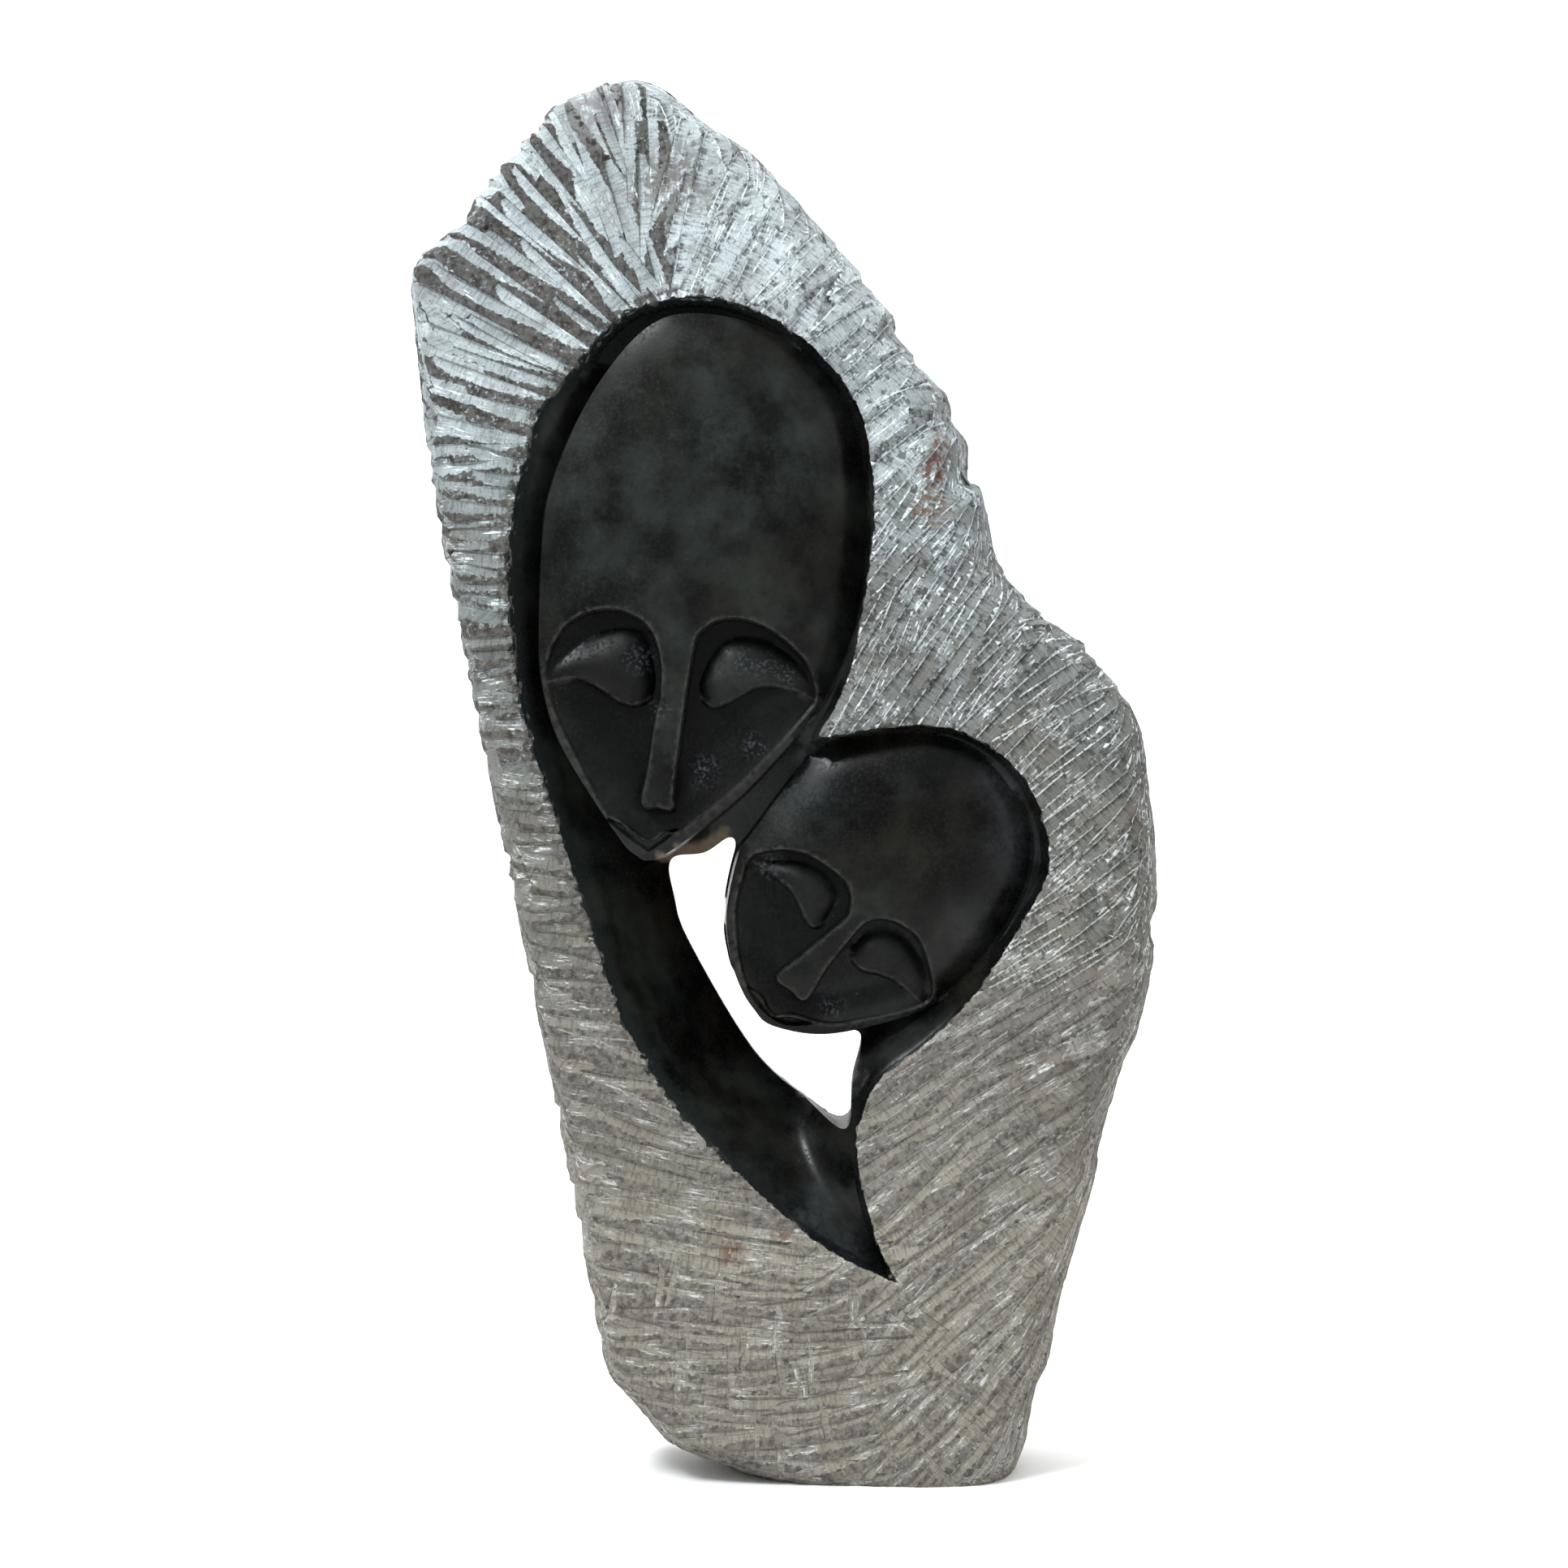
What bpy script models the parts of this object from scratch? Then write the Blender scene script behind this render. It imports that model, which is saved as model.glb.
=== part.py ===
"""Mother and child: one upright slab of dark stone, carved in relief and cut through once.

The border is rough stone. Inside it a polished hollow holds two mask-like faces, and a
tapering channel sweeps round them to a point. All of it is one solid piece of stone.
The carving is drawn on the front plane: x runs to the right and z up from the foot.
"""

import math

import bmesh
import bpy
import numpy as np
from mathutils.geometry import delaunay_2d_cdt

MM = 0.001

# Overall sizes of the stone, in millimetres
HEIGHT = 527.0
WIDTH = 283.0
FRONT_DEPTH = 38.0
BACK_DEPTH = 38.0
TOP_THINNING = 9.0
BACK_SWELL = 2.5

# Carving depths, in millimetres
GROOVE_DEPTH = 10.0
CHANNEL_DEPTH = 36.0
CHEEK_RIM_DEPTH = 1.3
MOTHER_CROWN = 7.0
CHILD_CROWN = 7.0
MOTHER_SOCKET = 9.0
CHILD_SOCKET = 7.0
MOTHER_LID = 6.5
CHILD_LID = 4.5
LIP_CUT = 2.4

# The drawing below is in millimetres, for a stone of this height and width
DRAWN_HEIGHT = 527.0
DRAWN_WIDTH = 283.0
ROUND_LEFT = 9.0
ROUND_RIGHT = 20.0
THIN_FROM = 360.0
BACK_THIN_FROM = 315.0
HOLE_FLARE = 2.5
WALL = 1.2
RIM_WALL = 2.4
LID_BEVEL = 1.5
LIP_WALL = 0.7
FACE_TO_HOLE = 2.0
CHANNEL_FADE = 60.0
SHOULDER_REACH = 30.0
SHOULDER_WIDTH = 7.0
LID_SPAN = 14.0
LID_TAPER = 8.0

# Shapes of the rounded surfaces: steepness of the floor's sides, and powers of its curves
FLOOR_SLOPE = 1.6
WALL_SLOPE = 5.0
SHOULDER_SLOPE = 2.0
ROUND_POWER = 2.2
LID_EDGE = 0.65

# Facet sizes in the drawing
OUTLINE_FACET = 8.5
RIM_FACET = 5.5
FACE_FACET = 5.0
CARVING_FACET = 3.6
ROUGH_SHEET = 13.0
HOLLOW_SHEET = 6.5
HEAD_SHEET = 7.5
SOCKET_SHEET = 3.8
BACK_SHEET = 19.0
EDGE_ROWS = 3
HOLE_ROWS = 3
LINE_TO_HOLE = 0.6
LINE_GAP = 0.4
SOFTENING = 10
CREASE_ANGLE = 35.0

OUTLINE = [
    (58, -16), (86, -2), (95, 30.5), (99.5, 39.5), (106, 69.5), (118, 111), (119.5, 123.5),
    (128.5, 154), (134, 166.5), (140, 192.5), (139.5, 208), (141.5, 217), (140, 249.5),
    (134, 285), (114, 313), (93.5, 329), (80.5, 346.5), (75, 372.5), (69.5, 375.5),
    (69, 389.5), (63.5, 398.5), (61.5, 408), (43.5, 429.5), (36.5, 445), (-6.5, 494),
    (-32, 512.5), (-54, 527), (-82, 521), (-95.5, 508.5), (-117, 483.5), (-122, 473.5),
    (-141, 457), (-141, 435.5), (-134, 372.5), (-119.5, 297), (-87, 137.5), (-71.5, 55.5),
    (-67, 37.5), (-56, 25.5), (-42, 10.5), (-2, -5), (26, -11),
]

# Edge of the polished hollow, from the point of rough stone between the two heads, over
# the mother's crown and down the left to the tip of the channel
RIM_OVER = [
    (11.5, 277), (19, 290), (26, 310), (32.5, 352), (32, 376), (27, 400), (13, 419.5),
    (-5, 433), (-26, 440.5), (-47, 439.5), (-63.5, 431.5), (-88.5, 402), (-96.5, 382),
    (-101.5, 358), (-103, 334), (-98, 289), (-85, 247), (-66.5, 189.5), (-57.5, 167),
    (-35, 134), (10, 92), (42, 75.5),
]

# The same edge from the tip back up, round under and over the child's head
RIM_UNDER = [
    (42, 75.5), (33.5, 92), (26.5, 123.5), (29, 140), (36, 152), (48, 161), (61.5, 173),
    (75, 189), (95.5, 222.5), (97.5, 238), (93, 254.5), (85, 266.5), (74, 275.5),
    (60, 281), (43.5, 282), (11.5, 277),
]

# Past this point the left side of the hollow is a gentle cove instead of a wall
COVE_FROM = (-75, 419)

# Middle of the broad polished shoulder beside the hole
SHOULDER = (37, 156)

# The opening right through the stone, between the two chins and the channel
HOLE = [
    (-44.5, 231.5), (-31, 234), (-19, 240), (-22, 213.5), (-21, 197.5), (-12, 176),
    (6.5, 167), (28, 167.5), (25, 148), (23, 131.5), (10.5, 138), (-12, 157.5),
    (-37.5, 200), (-43, 217),
]

MOTHER = {
    "head": [
        (-38.5, 435), (-21.5, 434), (-6.5, 429), (10, 418), (24, 399), (29.5, 376.5),
        (30.5, 352), (28, 329.5), (24, 313), (13, 289.5), (-11, 261.5), (-28.5, 246),
        (-45, 234), (-52, 232), (-55, 233.5), (-62, 240.5), (-83, 273.5), (-90.5, 296),
        (-92, 316), (-90.5, 355), (-87, 372.5), (-80, 390.5), (-71.5, 406.5),
        (-60.5, 421.5), (-50, 431),
    ],
    # Sunk below the forehead: both sockets and cheeks, with the nose left standing
    "carved": [
        (-88.5, 308), (-80, 321), (-65.5, 325.5), (-52.5, 320.5), (-46.5, 309), (-46, 293),
        (-48, 284.5), (-51, 265), (-53, 253), (-47.5, 252), (-42, 251.5), (-41.5, 261.5),
        (-35, 307.5), (-30.5, 318), (-19.5, 322), (-6, 318), (6.5, 307.5), (10.5, 299.5),
        (12, 292.5), (9, 287), (-5.5, 271), (-23, 254.5), (-38.5, 243), (-45.5, 242),
        (-51.5, 239), (-62, 246.5), (-66.5, 249), (-73.5, 261), (-88.5, 292.5),
    ],
    # Each closed lid: its crisp lower edge, then the upper edge that melts into the socket
    "lids": [
        (
            [(-90, 298), (-78.5, 300), (-72, 298), (-58.5, 290), (-49.5, 293)],
            [(-90, 298), (-85, 305.5), (-72, 316), (-64, 318.5), (-57, 318.5), (-52, 315),
             (-48.5, 300.5), (-49.5, 293)],
        ),
        (
            [(-31, 292.5), (-25.5, 289.5), (-9.5, 297), (3, 295.5), (11, 291.5)],
            [(-31, 292.5), (-32, 298.5), (-25.5, 311.5), (-19.5, 315), (-12.5, 315),
             (-5, 312.5), (2.5, 307.5), (8, 300.5), (11, 291.5)],
        ),
    ],
    "mouth": [
        (-67, 248), (-57, 243.5), (-51.5, 239), (-45, 242.5), (-40, 244), (-41.5, 241.5),
        (-50, 235.5), (-52.5, 236), (-62, 243),
    ],
    "socket": MOTHER_SOCKET,
    "lid": MOTHER_LID,
    "arch": MOTHER_CROWN,
    "chin": (-52, 232),
    "crown": (-22, 434),
    "half_width": 60.0,
    "lift": 2.0,
    "roll_left": (5.0, 2.0),
    "roll_right": (15.0, 7.0),
    "fall": 0.0,
    "cheek_reach": 24.0,
}

CHILD = {
    "head": [
        (15.5, 274.5), (27, 277.5), (43.5, 279), (58.5, 277.5), (72, 271.5), (82.5, 261),
        (90, 248), (92, 234.5), (89, 221), (82, 207.5), (72, 194), (60, 182), (46.5, 174),
        (16.5, 167), (-4.5, 170), (-12, 176.5), (-17.5, 186), (-21, 198), (-22, 213.5),
        (-17.5, 234.5), (-12.5, 242), (5, 265),
    ],
    "carved": [
        (-13.5, 233), (-7, 235.5), (2, 236), (11, 233), (23, 223.5), (24, 212.5),
        (16.5, 205), (5.5, 196), (-3, 188.5), (2, 184), (7.5, 180.5), (15, 192),
        (22.5, 201.5), (29.5, 209), (37, 210.5), (44.5, 207.5), (51, 201), (55.5, 185),
        (53.5, 178.5), (43.5, 175), (28.5, 172), (16.5, 170.5), (2.5, 174), (-5, 174),
        (-9.5, 181), (-15, 185.5), (-18, 198), (-19, 213.5), (-16.5, 225.5),
    ],
    "lids": [
        (
            [(-12, 231.5), (2, 221.5), (8, 210), (11, 207.5), (14.5, 209)],
            [(-12, 231.5), (3.5, 231.5), (12, 228.5), (17.5, 223.5), (19.5, 218),
             (14.5, 209)],
        ),
        (
            [(24, 198), (28, 192), (35.5, 190), (42.5, 186.5), (52, 177.5)],
            [(24, 198), (29, 204), (36, 206), (43, 204), (49, 197), (52.5, 188),
             (52, 177.5)],
        ),
    ],
    "mouth": [
        (-15, 185.5), (-8.5, 180.5), (-5, 174), (2.5, 173.5), (10.5, 171), (-0.5, 170.5),
        (-9.5, 176.5),
    ],
    "socket": CHILD_SOCKET,
    "lid": CHILD_LID,
    "arch": CHILD_CROWN,
    "chin": (-8, 172),
    "crown": (78, 268),
    "half_width": 52.0,
    "lift": -1.0,
    "roll_left": (8.0, 4.0),
    "roll_right": (10.0, 6.0),
    "fall": 3.0,
    "cheek_reach": 17.0,
}


def ease(t):
    """Smooth step from 0 to 1."""
    t = np.clip(t, 0.0, 1.0)
    return t * t * (3.0 - 2.0 * t)


def smooth_curve(points, facet, closed=True):
    """A Catmull-Rom curve through the points, resampled evenly about every facet."""
    p = np.array(points, float)
    n = len(p)
    fine = []
    for i in range(n if closed else n - 1):
        before = p[(i - 1) % n] if closed or i > 0 else p[i]
        here = p[i]
        after = p[(i + 1) % n]
        beyond = p[(i + 2) % n] if closed or i + 2 < n else after
        for t in np.linspace(0.0, 1.0, 12, endpoint=False):
            fine.append(0.5 * (
                2 * here + (after - before) * t
                + (2 * before - 5 * here + 4 * after - beyond) * t ** 2
                + (3 * here - before - 3 * after + beyond) * t ** 3
            ))
    fine.append(p[0] if closed else p[-1])
    fine = np.array(fine)
    run = np.concatenate([[0.0], np.cumsum(np.linalg.norm(np.diff(fine, axis=0), axis=1))])
    count = max(4, int(round(run[-1] / facet)))
    stations = np.linspace(0.0, run[-1], count + 1)
    curve = np.stack([np.interp(stations, run, fine[:, k]) for k in (0, 1)], axis=1)
    return curve[:-1] if closed else curve


def distance(points, line, closed=True):
    """Distance from each point to a line of straight facets."""
    starts, ends = line, np.roll(line, -1, axis=0)
    if not closed:
        starts, ends = line[:-1], line[1:]
    best = np.full(len(points), np.inf)
    for start, end in zip(starts, ends):
        run = end - start
        t = np.clip((points - start) @ run / max(run @ run, 1e-12), 0.0, 1.0)
        gap = points - start - t[:, None] * run
        best = np.minimum(best, np.einsum("ij,ij->i", gap, gap))
    return np.sqrt(best)


def inside(points, loop):
    """True for each point inside a closed loop."""
    x, z = points[:, 0], points[:, 1]
    result = np.zeros(len(points), bool)
    for (x1, z1), (x2, z2) in zip(loop, np.roll(loop, -1, axis=0)):
        crosses = (z1 > z) != (z2 > z)
        at = x1 + (z - z1) * (x2 - x1) / ((z2 - z1) or 1e-12)
        result ^= crosses & (x < at)
    return result


def inward(loop):
    """Unit normals of a closed loop, pointing to its inner side."""
    along = np.roll(loop, -1, axis=0) - np.roll(loop, 1, axis=0)
    x, z = loop[:, 0], loop[:, 1]
    turns = np.sum(x * np.roll(z, -1) - np.roll(x, -1) * z)
    normal = np.stack([-along[:, 1], along[:, 0]], axis=1) * math.copysign(1.0, turns)
    return normal / np.linalg.norm(normal, axis=1)[:, None]


def inset(loop, amount):
    """The loop moved inwards by amount, or outwards where it is negative."""
    return loop + inward(loop) * amount


def held_clear(loop, other, gap):
    """The loop, with each point pushed out of another loop until it is gap outside it."""
    dense = np.concatenate([other + (np.roll(other, -1, axis=0) - other) * t
                            for t in np.linspace(0.0, 1.0, 6, endpoint=False)])
    moved = loop.copy()
    for i, point in enumerate(loop):
        away = point - dense
        nearest = np.argmin(np.einsum("ij,ij->i", away, away))
        reach = np.linalg.norm(away[nearest])
        within = inside(point[None], other)[0]
        if within or reach < gap:
            outward = away[nearest] / max(reach, 1e-9) * (-1.0 if within else 1.0)
            moved[i] = dense[nearest] + outward * gap
    return moved


# Curves shared by the surfaces
OUTER = smooth_curve(OUTLINE, OUTLINE_FACET)
OVER = smooth_curve(RIM_OVER, RIM_FACET, closed=False)
UNDER = smooth_curve(RIM_UNDER, RIM_FACET, closed=False)
RIM = np.concatenate([OVER[:-1], UNDER[:-1]])
COVE_START = int(np.argmin(np.linalg.norm(OVER - np.array(COVE_FROM, float), axis=1)))
MOTHER_HEAD = smooth_curve(MOTHER["head"], FACE_FACET)
CHILD_HEAD = smooth_curve(CHILD["head"], FACE_FACET)
THROUGH = held_clear(
    held_clear(smooth_curve(HOLE, FACE_FACET), CHILD_HEAD, FACE_TO_HOLE),
    MOTHER_HEAD, FACE_TO_HOLE)


def front_plane(points):
    """Height of the rough front over the middle plane: the stone thins towards its top."""
    rise = (points[:, 1] - THIN_FROM) / (DRAWN_HEIGHT - THIN_FROM)
    return FRONT_DEPTH - TOP_THINNING * ease(rise)


def back_plane(points):
    """Depth of the back behind the middle plane, slightly uneven like split stone."""
    x, z = (points / DRAWN_HEIGHT).T
    swell = np.sin(9.0 * x + 4.0) * np.cos(7.0 * z) + 0.5 * np.sin(17.0 * z + 6.0 * x)
    rise = (points[:, 1] - BACK_THIN_FROM) / (DRAWN_HEIGHT - BACK_THIN_FROM)
    return BACK_DEPTH - TOP_THINNING * ease(rise) + BACK_SWELL * swell


def head_surface(face, points, head):
    """Height of the uncarved head: a crowned surface that rolls down at its edge."""
    chin, crown = np.array(face["chin"], float), np.array(face["crown"], float)
    length = np.linalg.norm(crown - chin)
    axis = (crown - chin) / length
    middle = points - (chin + crown) / 2
    across = middle @ np.array([axis[1], -axis[0]]) / face["half_width"]
    along = middle @ axis / length * 2
    right = ease(0.5 + across)
    width = face["roll_left"][0] + (face["roll_right"][0] - face["roll_left"][0]) * right
    drop = face["roll_left"][1] + (face["roll_right"][1] - face["roll_left"][1]) * right
    edge = np.where(inside(points, head), distance(points, head), 0.0)
    roll = drop * (1.0 - np.clip(edge / width, 0.0, 1.0)) ** ROUND_POWER
    return (front_plane(points) + face["lift"] - face["arch"] * across ** 2
            - face["fall"] * along ** 2 - roll)


def lid_swell(lower, upper, points):
    """Share of a lid's full height at each point, with a bevel under its lower edge."""
    below = smooth_curve(lower, CARVING_FACET, closed=False)
    above = smooth_curve(upper, CARVING_FACET, closed=False)
    to_lower = distance(points, below, closed=False)
    width = to_lower + distance(points, above, closed=False)
    t = to_lower / np.maximum(width, 1e-9)
    on_lid = inside(points, np.concatenate([below, above[::-1][1:-1]]))
    swell = np.minimum(width / LID_SPAN, 1.0) ** 0.6 * (1.0 - t) ** 0.8 * (LID_EDGE + 2.0 * t)
    ends = np.minimum(np.linalg.norm(points - below[0], axis=1),
                      np.linalg.norm(points - below[-1], axis=1))
    taper = np.clip(ends / LID_TAPER, 0.0, 1.0) ** 0.6
    bevel = LID_EDGE * np.clip(1.0 - to_lower / LID_BEVEL, 0.0, 1.0) * taper
    return np.where(on_lid, np.minimum(swell, 1.0), bevel)


def face_height(face, points, head):
    """Height of a finished face: head, less sockets and cheeks, with lids and mouth."""
    carved = smooth_curve(face["carved"], CARVING_FACET)
    within = inside(points, carved)
    wall = np.where(within, np.clip(distance(points, carved) / WALL, 0.0, 1.0), 0.0)
    from_jaw = ease(distance(points, head) / face["cheek_reach"])
    sunk = CHEEK_RIM_DEPTH + (face["socket"] - CHEEK_RIM_DEPTH) * from_jaw
    raised = np.max([lid_swell(low, high, points) for low, high in face["lids"]], axis=0)
    mouth = smooth_curve(face["mouth"], CARVING_FACET)
    lips = np.where(inside(points, mouth), distance(points, mouth) / LIP_WALL, 0.0)
    return (head_surface(face, points, head)
            - wall * sunk * (1.0 - raised * face["lid"] / face["socket"])
            - LIP_CUT * np.clip(lips, 0.0, 1.0))


def hollow_floor(points):
    """Height of the polished floor between the rough rim, the two heads and the hole."""
    wall_line = np.concatenate([UNDER[:-1], OVER[:COVE_START + 1]])
    soft = distance(points, OVER[COVE_START:], closed=False)
    sharp = distance(points, wall_line, closed=False)
    mother = distance(points, MOTHER_HEAD)
    child = distance(points, CHILD_HEAD)
    hole = distance(points, THROUGH)
    nearest = np.sort(np.stack([soft, sharp, mother, child]), axis=0)
    deep = GROOVE_DEPTH + CHANNEL_DEPTH * np.exp(-hole / CHANNEL_FADE)
    deep = np.minimum(deep, FLOOR_SLOPE * (nearest[0] + nearest[1]))
    blend = 3.0
    others = -blend * np.log(sum(np.exp(-d / blend) for d in (sharp, mother, child, hole)))
    others = np.maximum(others, 0.0)
    cove = 1.0 - (1.0 - soft / np.maximum(soft + others, 1e-9)) ** ROUND_POWER
    from_shoulder = np.linalg.norm(points - np.array(SHOULDER, float), axis=1)
    shoulder = RIM_WALL + SHOULDER_WIDTH * np.exp(-(from_shoulder / SHOULDER_REACH) ** 2)
    roll = np.clip(sharp / shoulder, 0.0, 1.0) ** ROUND_POWER
    away = ease(from_shoulder / SHOULDER_REACH - 1.0)
    slope = SHOULDER_SLOPE + (WALL_SLOPE - SHOULDER_SLOPE) * away
    return front_plane(points) - np.minimum(deep * cove * roll, sharp * slope)


def front_height(points):
    """Height of the whole carved front over the middle plane."""
    height = front_plane(points)
    hollow = inside(points, RIM)
    height[hollow] = hollow_floor(points[hollow])
    for face, head in ((MOTHER, MOTHER_HEAD), (CHILD, CHILD_HEAD)):
        gap = np.where(inside(points, head), 0.0, distance(points, head))
        near = gap < WALL
        share = gap[near] / WALL
        height[near] = (face_height(face, points[near], head) * (1.0 - share)
                        + height[near] * share)
    return height


def edge_rings(loop, rounding, rows):
    """Loops from the outline inwards, for a rounded edge: (share of the depth, loop)."""
    steps = 12
    paths = [loop]
    for _ in range(steps):
        moved = paths[-1] + inward(paths[-1]) * (rounding / steps)[:, None]
        for _ in range(2):
            sides = np.roll(moved, 1, axis=0) + np.roll(moved, -1, axis=0)
            moved = 0.5 * moved + 0.25 * sides
        paths.append(moved)
    rings = []
    for row in range(rows + 1):
        angle = row / rows * math.pi / 2
        at = (1.0 - math.cos(angle)) * steps
        low = min(int(at), steps - 1)
        rings.append((math.sin(angle), paths[low] + (paths[low + 1] - paths[low]) * (at - low)))
    return rings


def lattice(loop, spacing):
    """Points on a triangular lattice inside a loop."""
    low, high = loop.min(axis=0), loop.max(axis=0)
    rows = np.arange(low[1], high[1], spacing * math.sqrt(3) / 2)
    points = np.array([(x + (i % 2) * spacing / 2, z) for i, z in enumerate(rows)
                       for x in np.arange(low[0], high[0], spacing)])
    return points[inside(points, loop)]


def scattered(zones, hole, corners):
    """Points that fill each zone at its own spacing, finer zones over coarser ones."""
    chosen = []
    for index, (zone, spacing) in enumerate(zones):
        grid = lattice(zone, spacing)
        free = inside(grid, zones[0][0]) & ~inside(grid, hole)
        for finer, _ in zones[index + 1:]:
            free &= ~inside(grid, finer)
        grid = grid[free]
        nearest = np.min(np.linalg.norm(grid[:, None] - corners[None], axis=2), axis=1)
        chosen.append(grid[nearest > 0.6 * spacing])
    return np.concatenate(chosen)


def sheet(zones, hole, lines):
    """Triangles between the first zone's loop and the hole, with the lines as edges."""
    corners = np.empty((0, 2))
    edges = []
    for line, closed in [(zones[0][0], True), (hole, True), *lines]:
        kept = np.ones(len(line), bool)
        if line is not zones[0][0] and line is not hole:
            gaps = np.linalg.norm(line[:, None] - corners[None], axis=2).min(axis=1)
            kept = ~inside(line, hole) & (distance(line, hole) > LINE_TO_HOLE)
            kept &= gaps > LINE_GAP
        places = np.cumsum(kept) - 1 + len(corners)
        corners = np.concatenate([corners, line[kept]])
        for i in range(len(line) if closed else len(line) - 1):
            j = (i + 1) % len(line)
            if kept[i] and kept[j]:
                edges.append((int(places[i]), int(places[j])))
    flat = np.concatenate([corners, scattered(zones, hole, corners)])
    points, _, faces, *_ = delaunay_2d_cdt([tuple(p) for p in flat], edges, [], 0, 1e-5)
    points = np.array([tuple(p) for p in points])
    centres = np.array([points[list(face)].mean(axis=0) for face in faces])
    keep = inside(centres, zones[0][0]) & ~inside(centres, hole)
    reach = np.linalg.norm(points[:, None] - corners[None], axis=2).min(axis=1)
    return points, [face for face, kept in zip(faces, keep) if kept], reach < 0.01


def smoothed(points, faces, height, fixed):
    """Heights with the free ones drawn towards the mean of their neighbours."""
    pairs = np.array([(f[i], f[i - 1]) for f in faces for i in range(3)])
    pairs = np.concatenate([pairs, pairs[:, ::-1]])
    counts = np.maximum(np.bincount(pairs[:, 0], minlength=len(points)), 1)
    for _ in range(SOFTENING):
        mean = np.bincount(pairs[:, 0], height[pairs[:, 1]], minlength=len(points)) / counts
        height = np.where(fixed, height, 0.4 * height + 0.6 * mean)
    return height


def add_sheet(bm, points, faces, height):
    """Adds a sheet's faces to the mesh, leaving out points that no face uses."""
    placed = standing(points, height)
    made = {}
    for face in faces:
        for index in face:
            if index not in made:
                made[index] = bm.verts.new(placed[index] * MM)
        bm.faces.new([made[index] for index in face])


def add_strip(bm, rows):
    """Joins a list of closed rows of points, each as long as the next, with quads."""
    made = [[bm.verts.new(point * MM) for point in row] for row in rows]
    for lower, upper in zip(made, made[1:]):
        for i in range(len(lower)):
            j = (i + 1) % len(lower)
            bm.faces.new((lower[i], lower[j], upper[j], upper[i]))


def standing(points, height):
    """Points of the drawing as points in space, at a height towards the front."""
    x = points[:, 0] * (WIDTH / DRAWN_WIDTH)
    z = points[:, 1] * (HEIGHT / DRAWN_HEIGHT)
    return np.stack([x, -height, z], axis=1)


def carving_lines():
    """Every line that the front keeps crisp, each with its steep wall's other edge."""
    lines = [(RIM, True)]
    for face, head in ((MOTHER, MOTHER_HEAD), (CHILD, CHILD_HEAD)):
        carved = smooth_curve(face["carved"], CARVING_FACET)
        mouth = smooth_curve(face["mouth"], CARVING_FACET)
        lines += [(head, True), (inset(head, -WALL * 0.98), True)]
        lines += [(carved, True), (inset(carved, WALL), True)]
        lines += [(mouth, True), (inset(mouth, LIP_WALL), True)]
        for lower, upper in face["lids"]:
            edge = smooth_curve(lower, CARVING_FACET, closed=False)
            along = np.gradient(edge, axis=0)
            across = np.stack([along[:, 1], -along[:, 0]], axis=1)
            foot = edge + across / np.linalg.norm(across, axis=1)[:, None] * LID_BEVEL
            lines += [(edge, False), (foot[2:-2], False)]
            lines += [(smooth_curve(upper, CARVING_FACET, closed=False), False)]
    lines += [(inset(RIM, RIM_WALL), True)]
    return lines


def rounding_along(loop):
    """Width of the rounded edge at each point: narrow on the left, broad on the right."""
    side = ease(loop[:, 0] / (0.55 * DRAWN_WIDTH) + 0.55)
    return ROUND_LEFT + (ROUND_RIGHT - ROUND_LEFT) * side


def cut_foot(bm):
    """Cuts the stone off flat at the foot and closes the cut with one face."""
    cut = bmesh.ops.bisect_plane(
        bm, geom=bm.verts[:] + bm.edges[:] + bm.faces[:], dist=1e-7,
        plane_co=(0, 0, 0), plane_no=(0, 0, -1), clear_outer=True)
    rim = [e for e in cut["geom_cut"] if isinstance(e, bmesh.types.BMEdge)]
    bmesh.ops.holes_fill(bm, edges=rim, sides=0)


def stand_over_origin(bm):
    """Moves the stone so that the middle of its underside's bounding box is the origin."""
    at = np.array([vert.co for vert in bm.verts])
    low, high = at.min(axis=0), at.max(axis=0)
    middle = (low + high) / 2
    bmesh.ops.translate(bm, verts=bm.verts, vec=(-middle[0], -middle[1], -low[2]))


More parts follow.
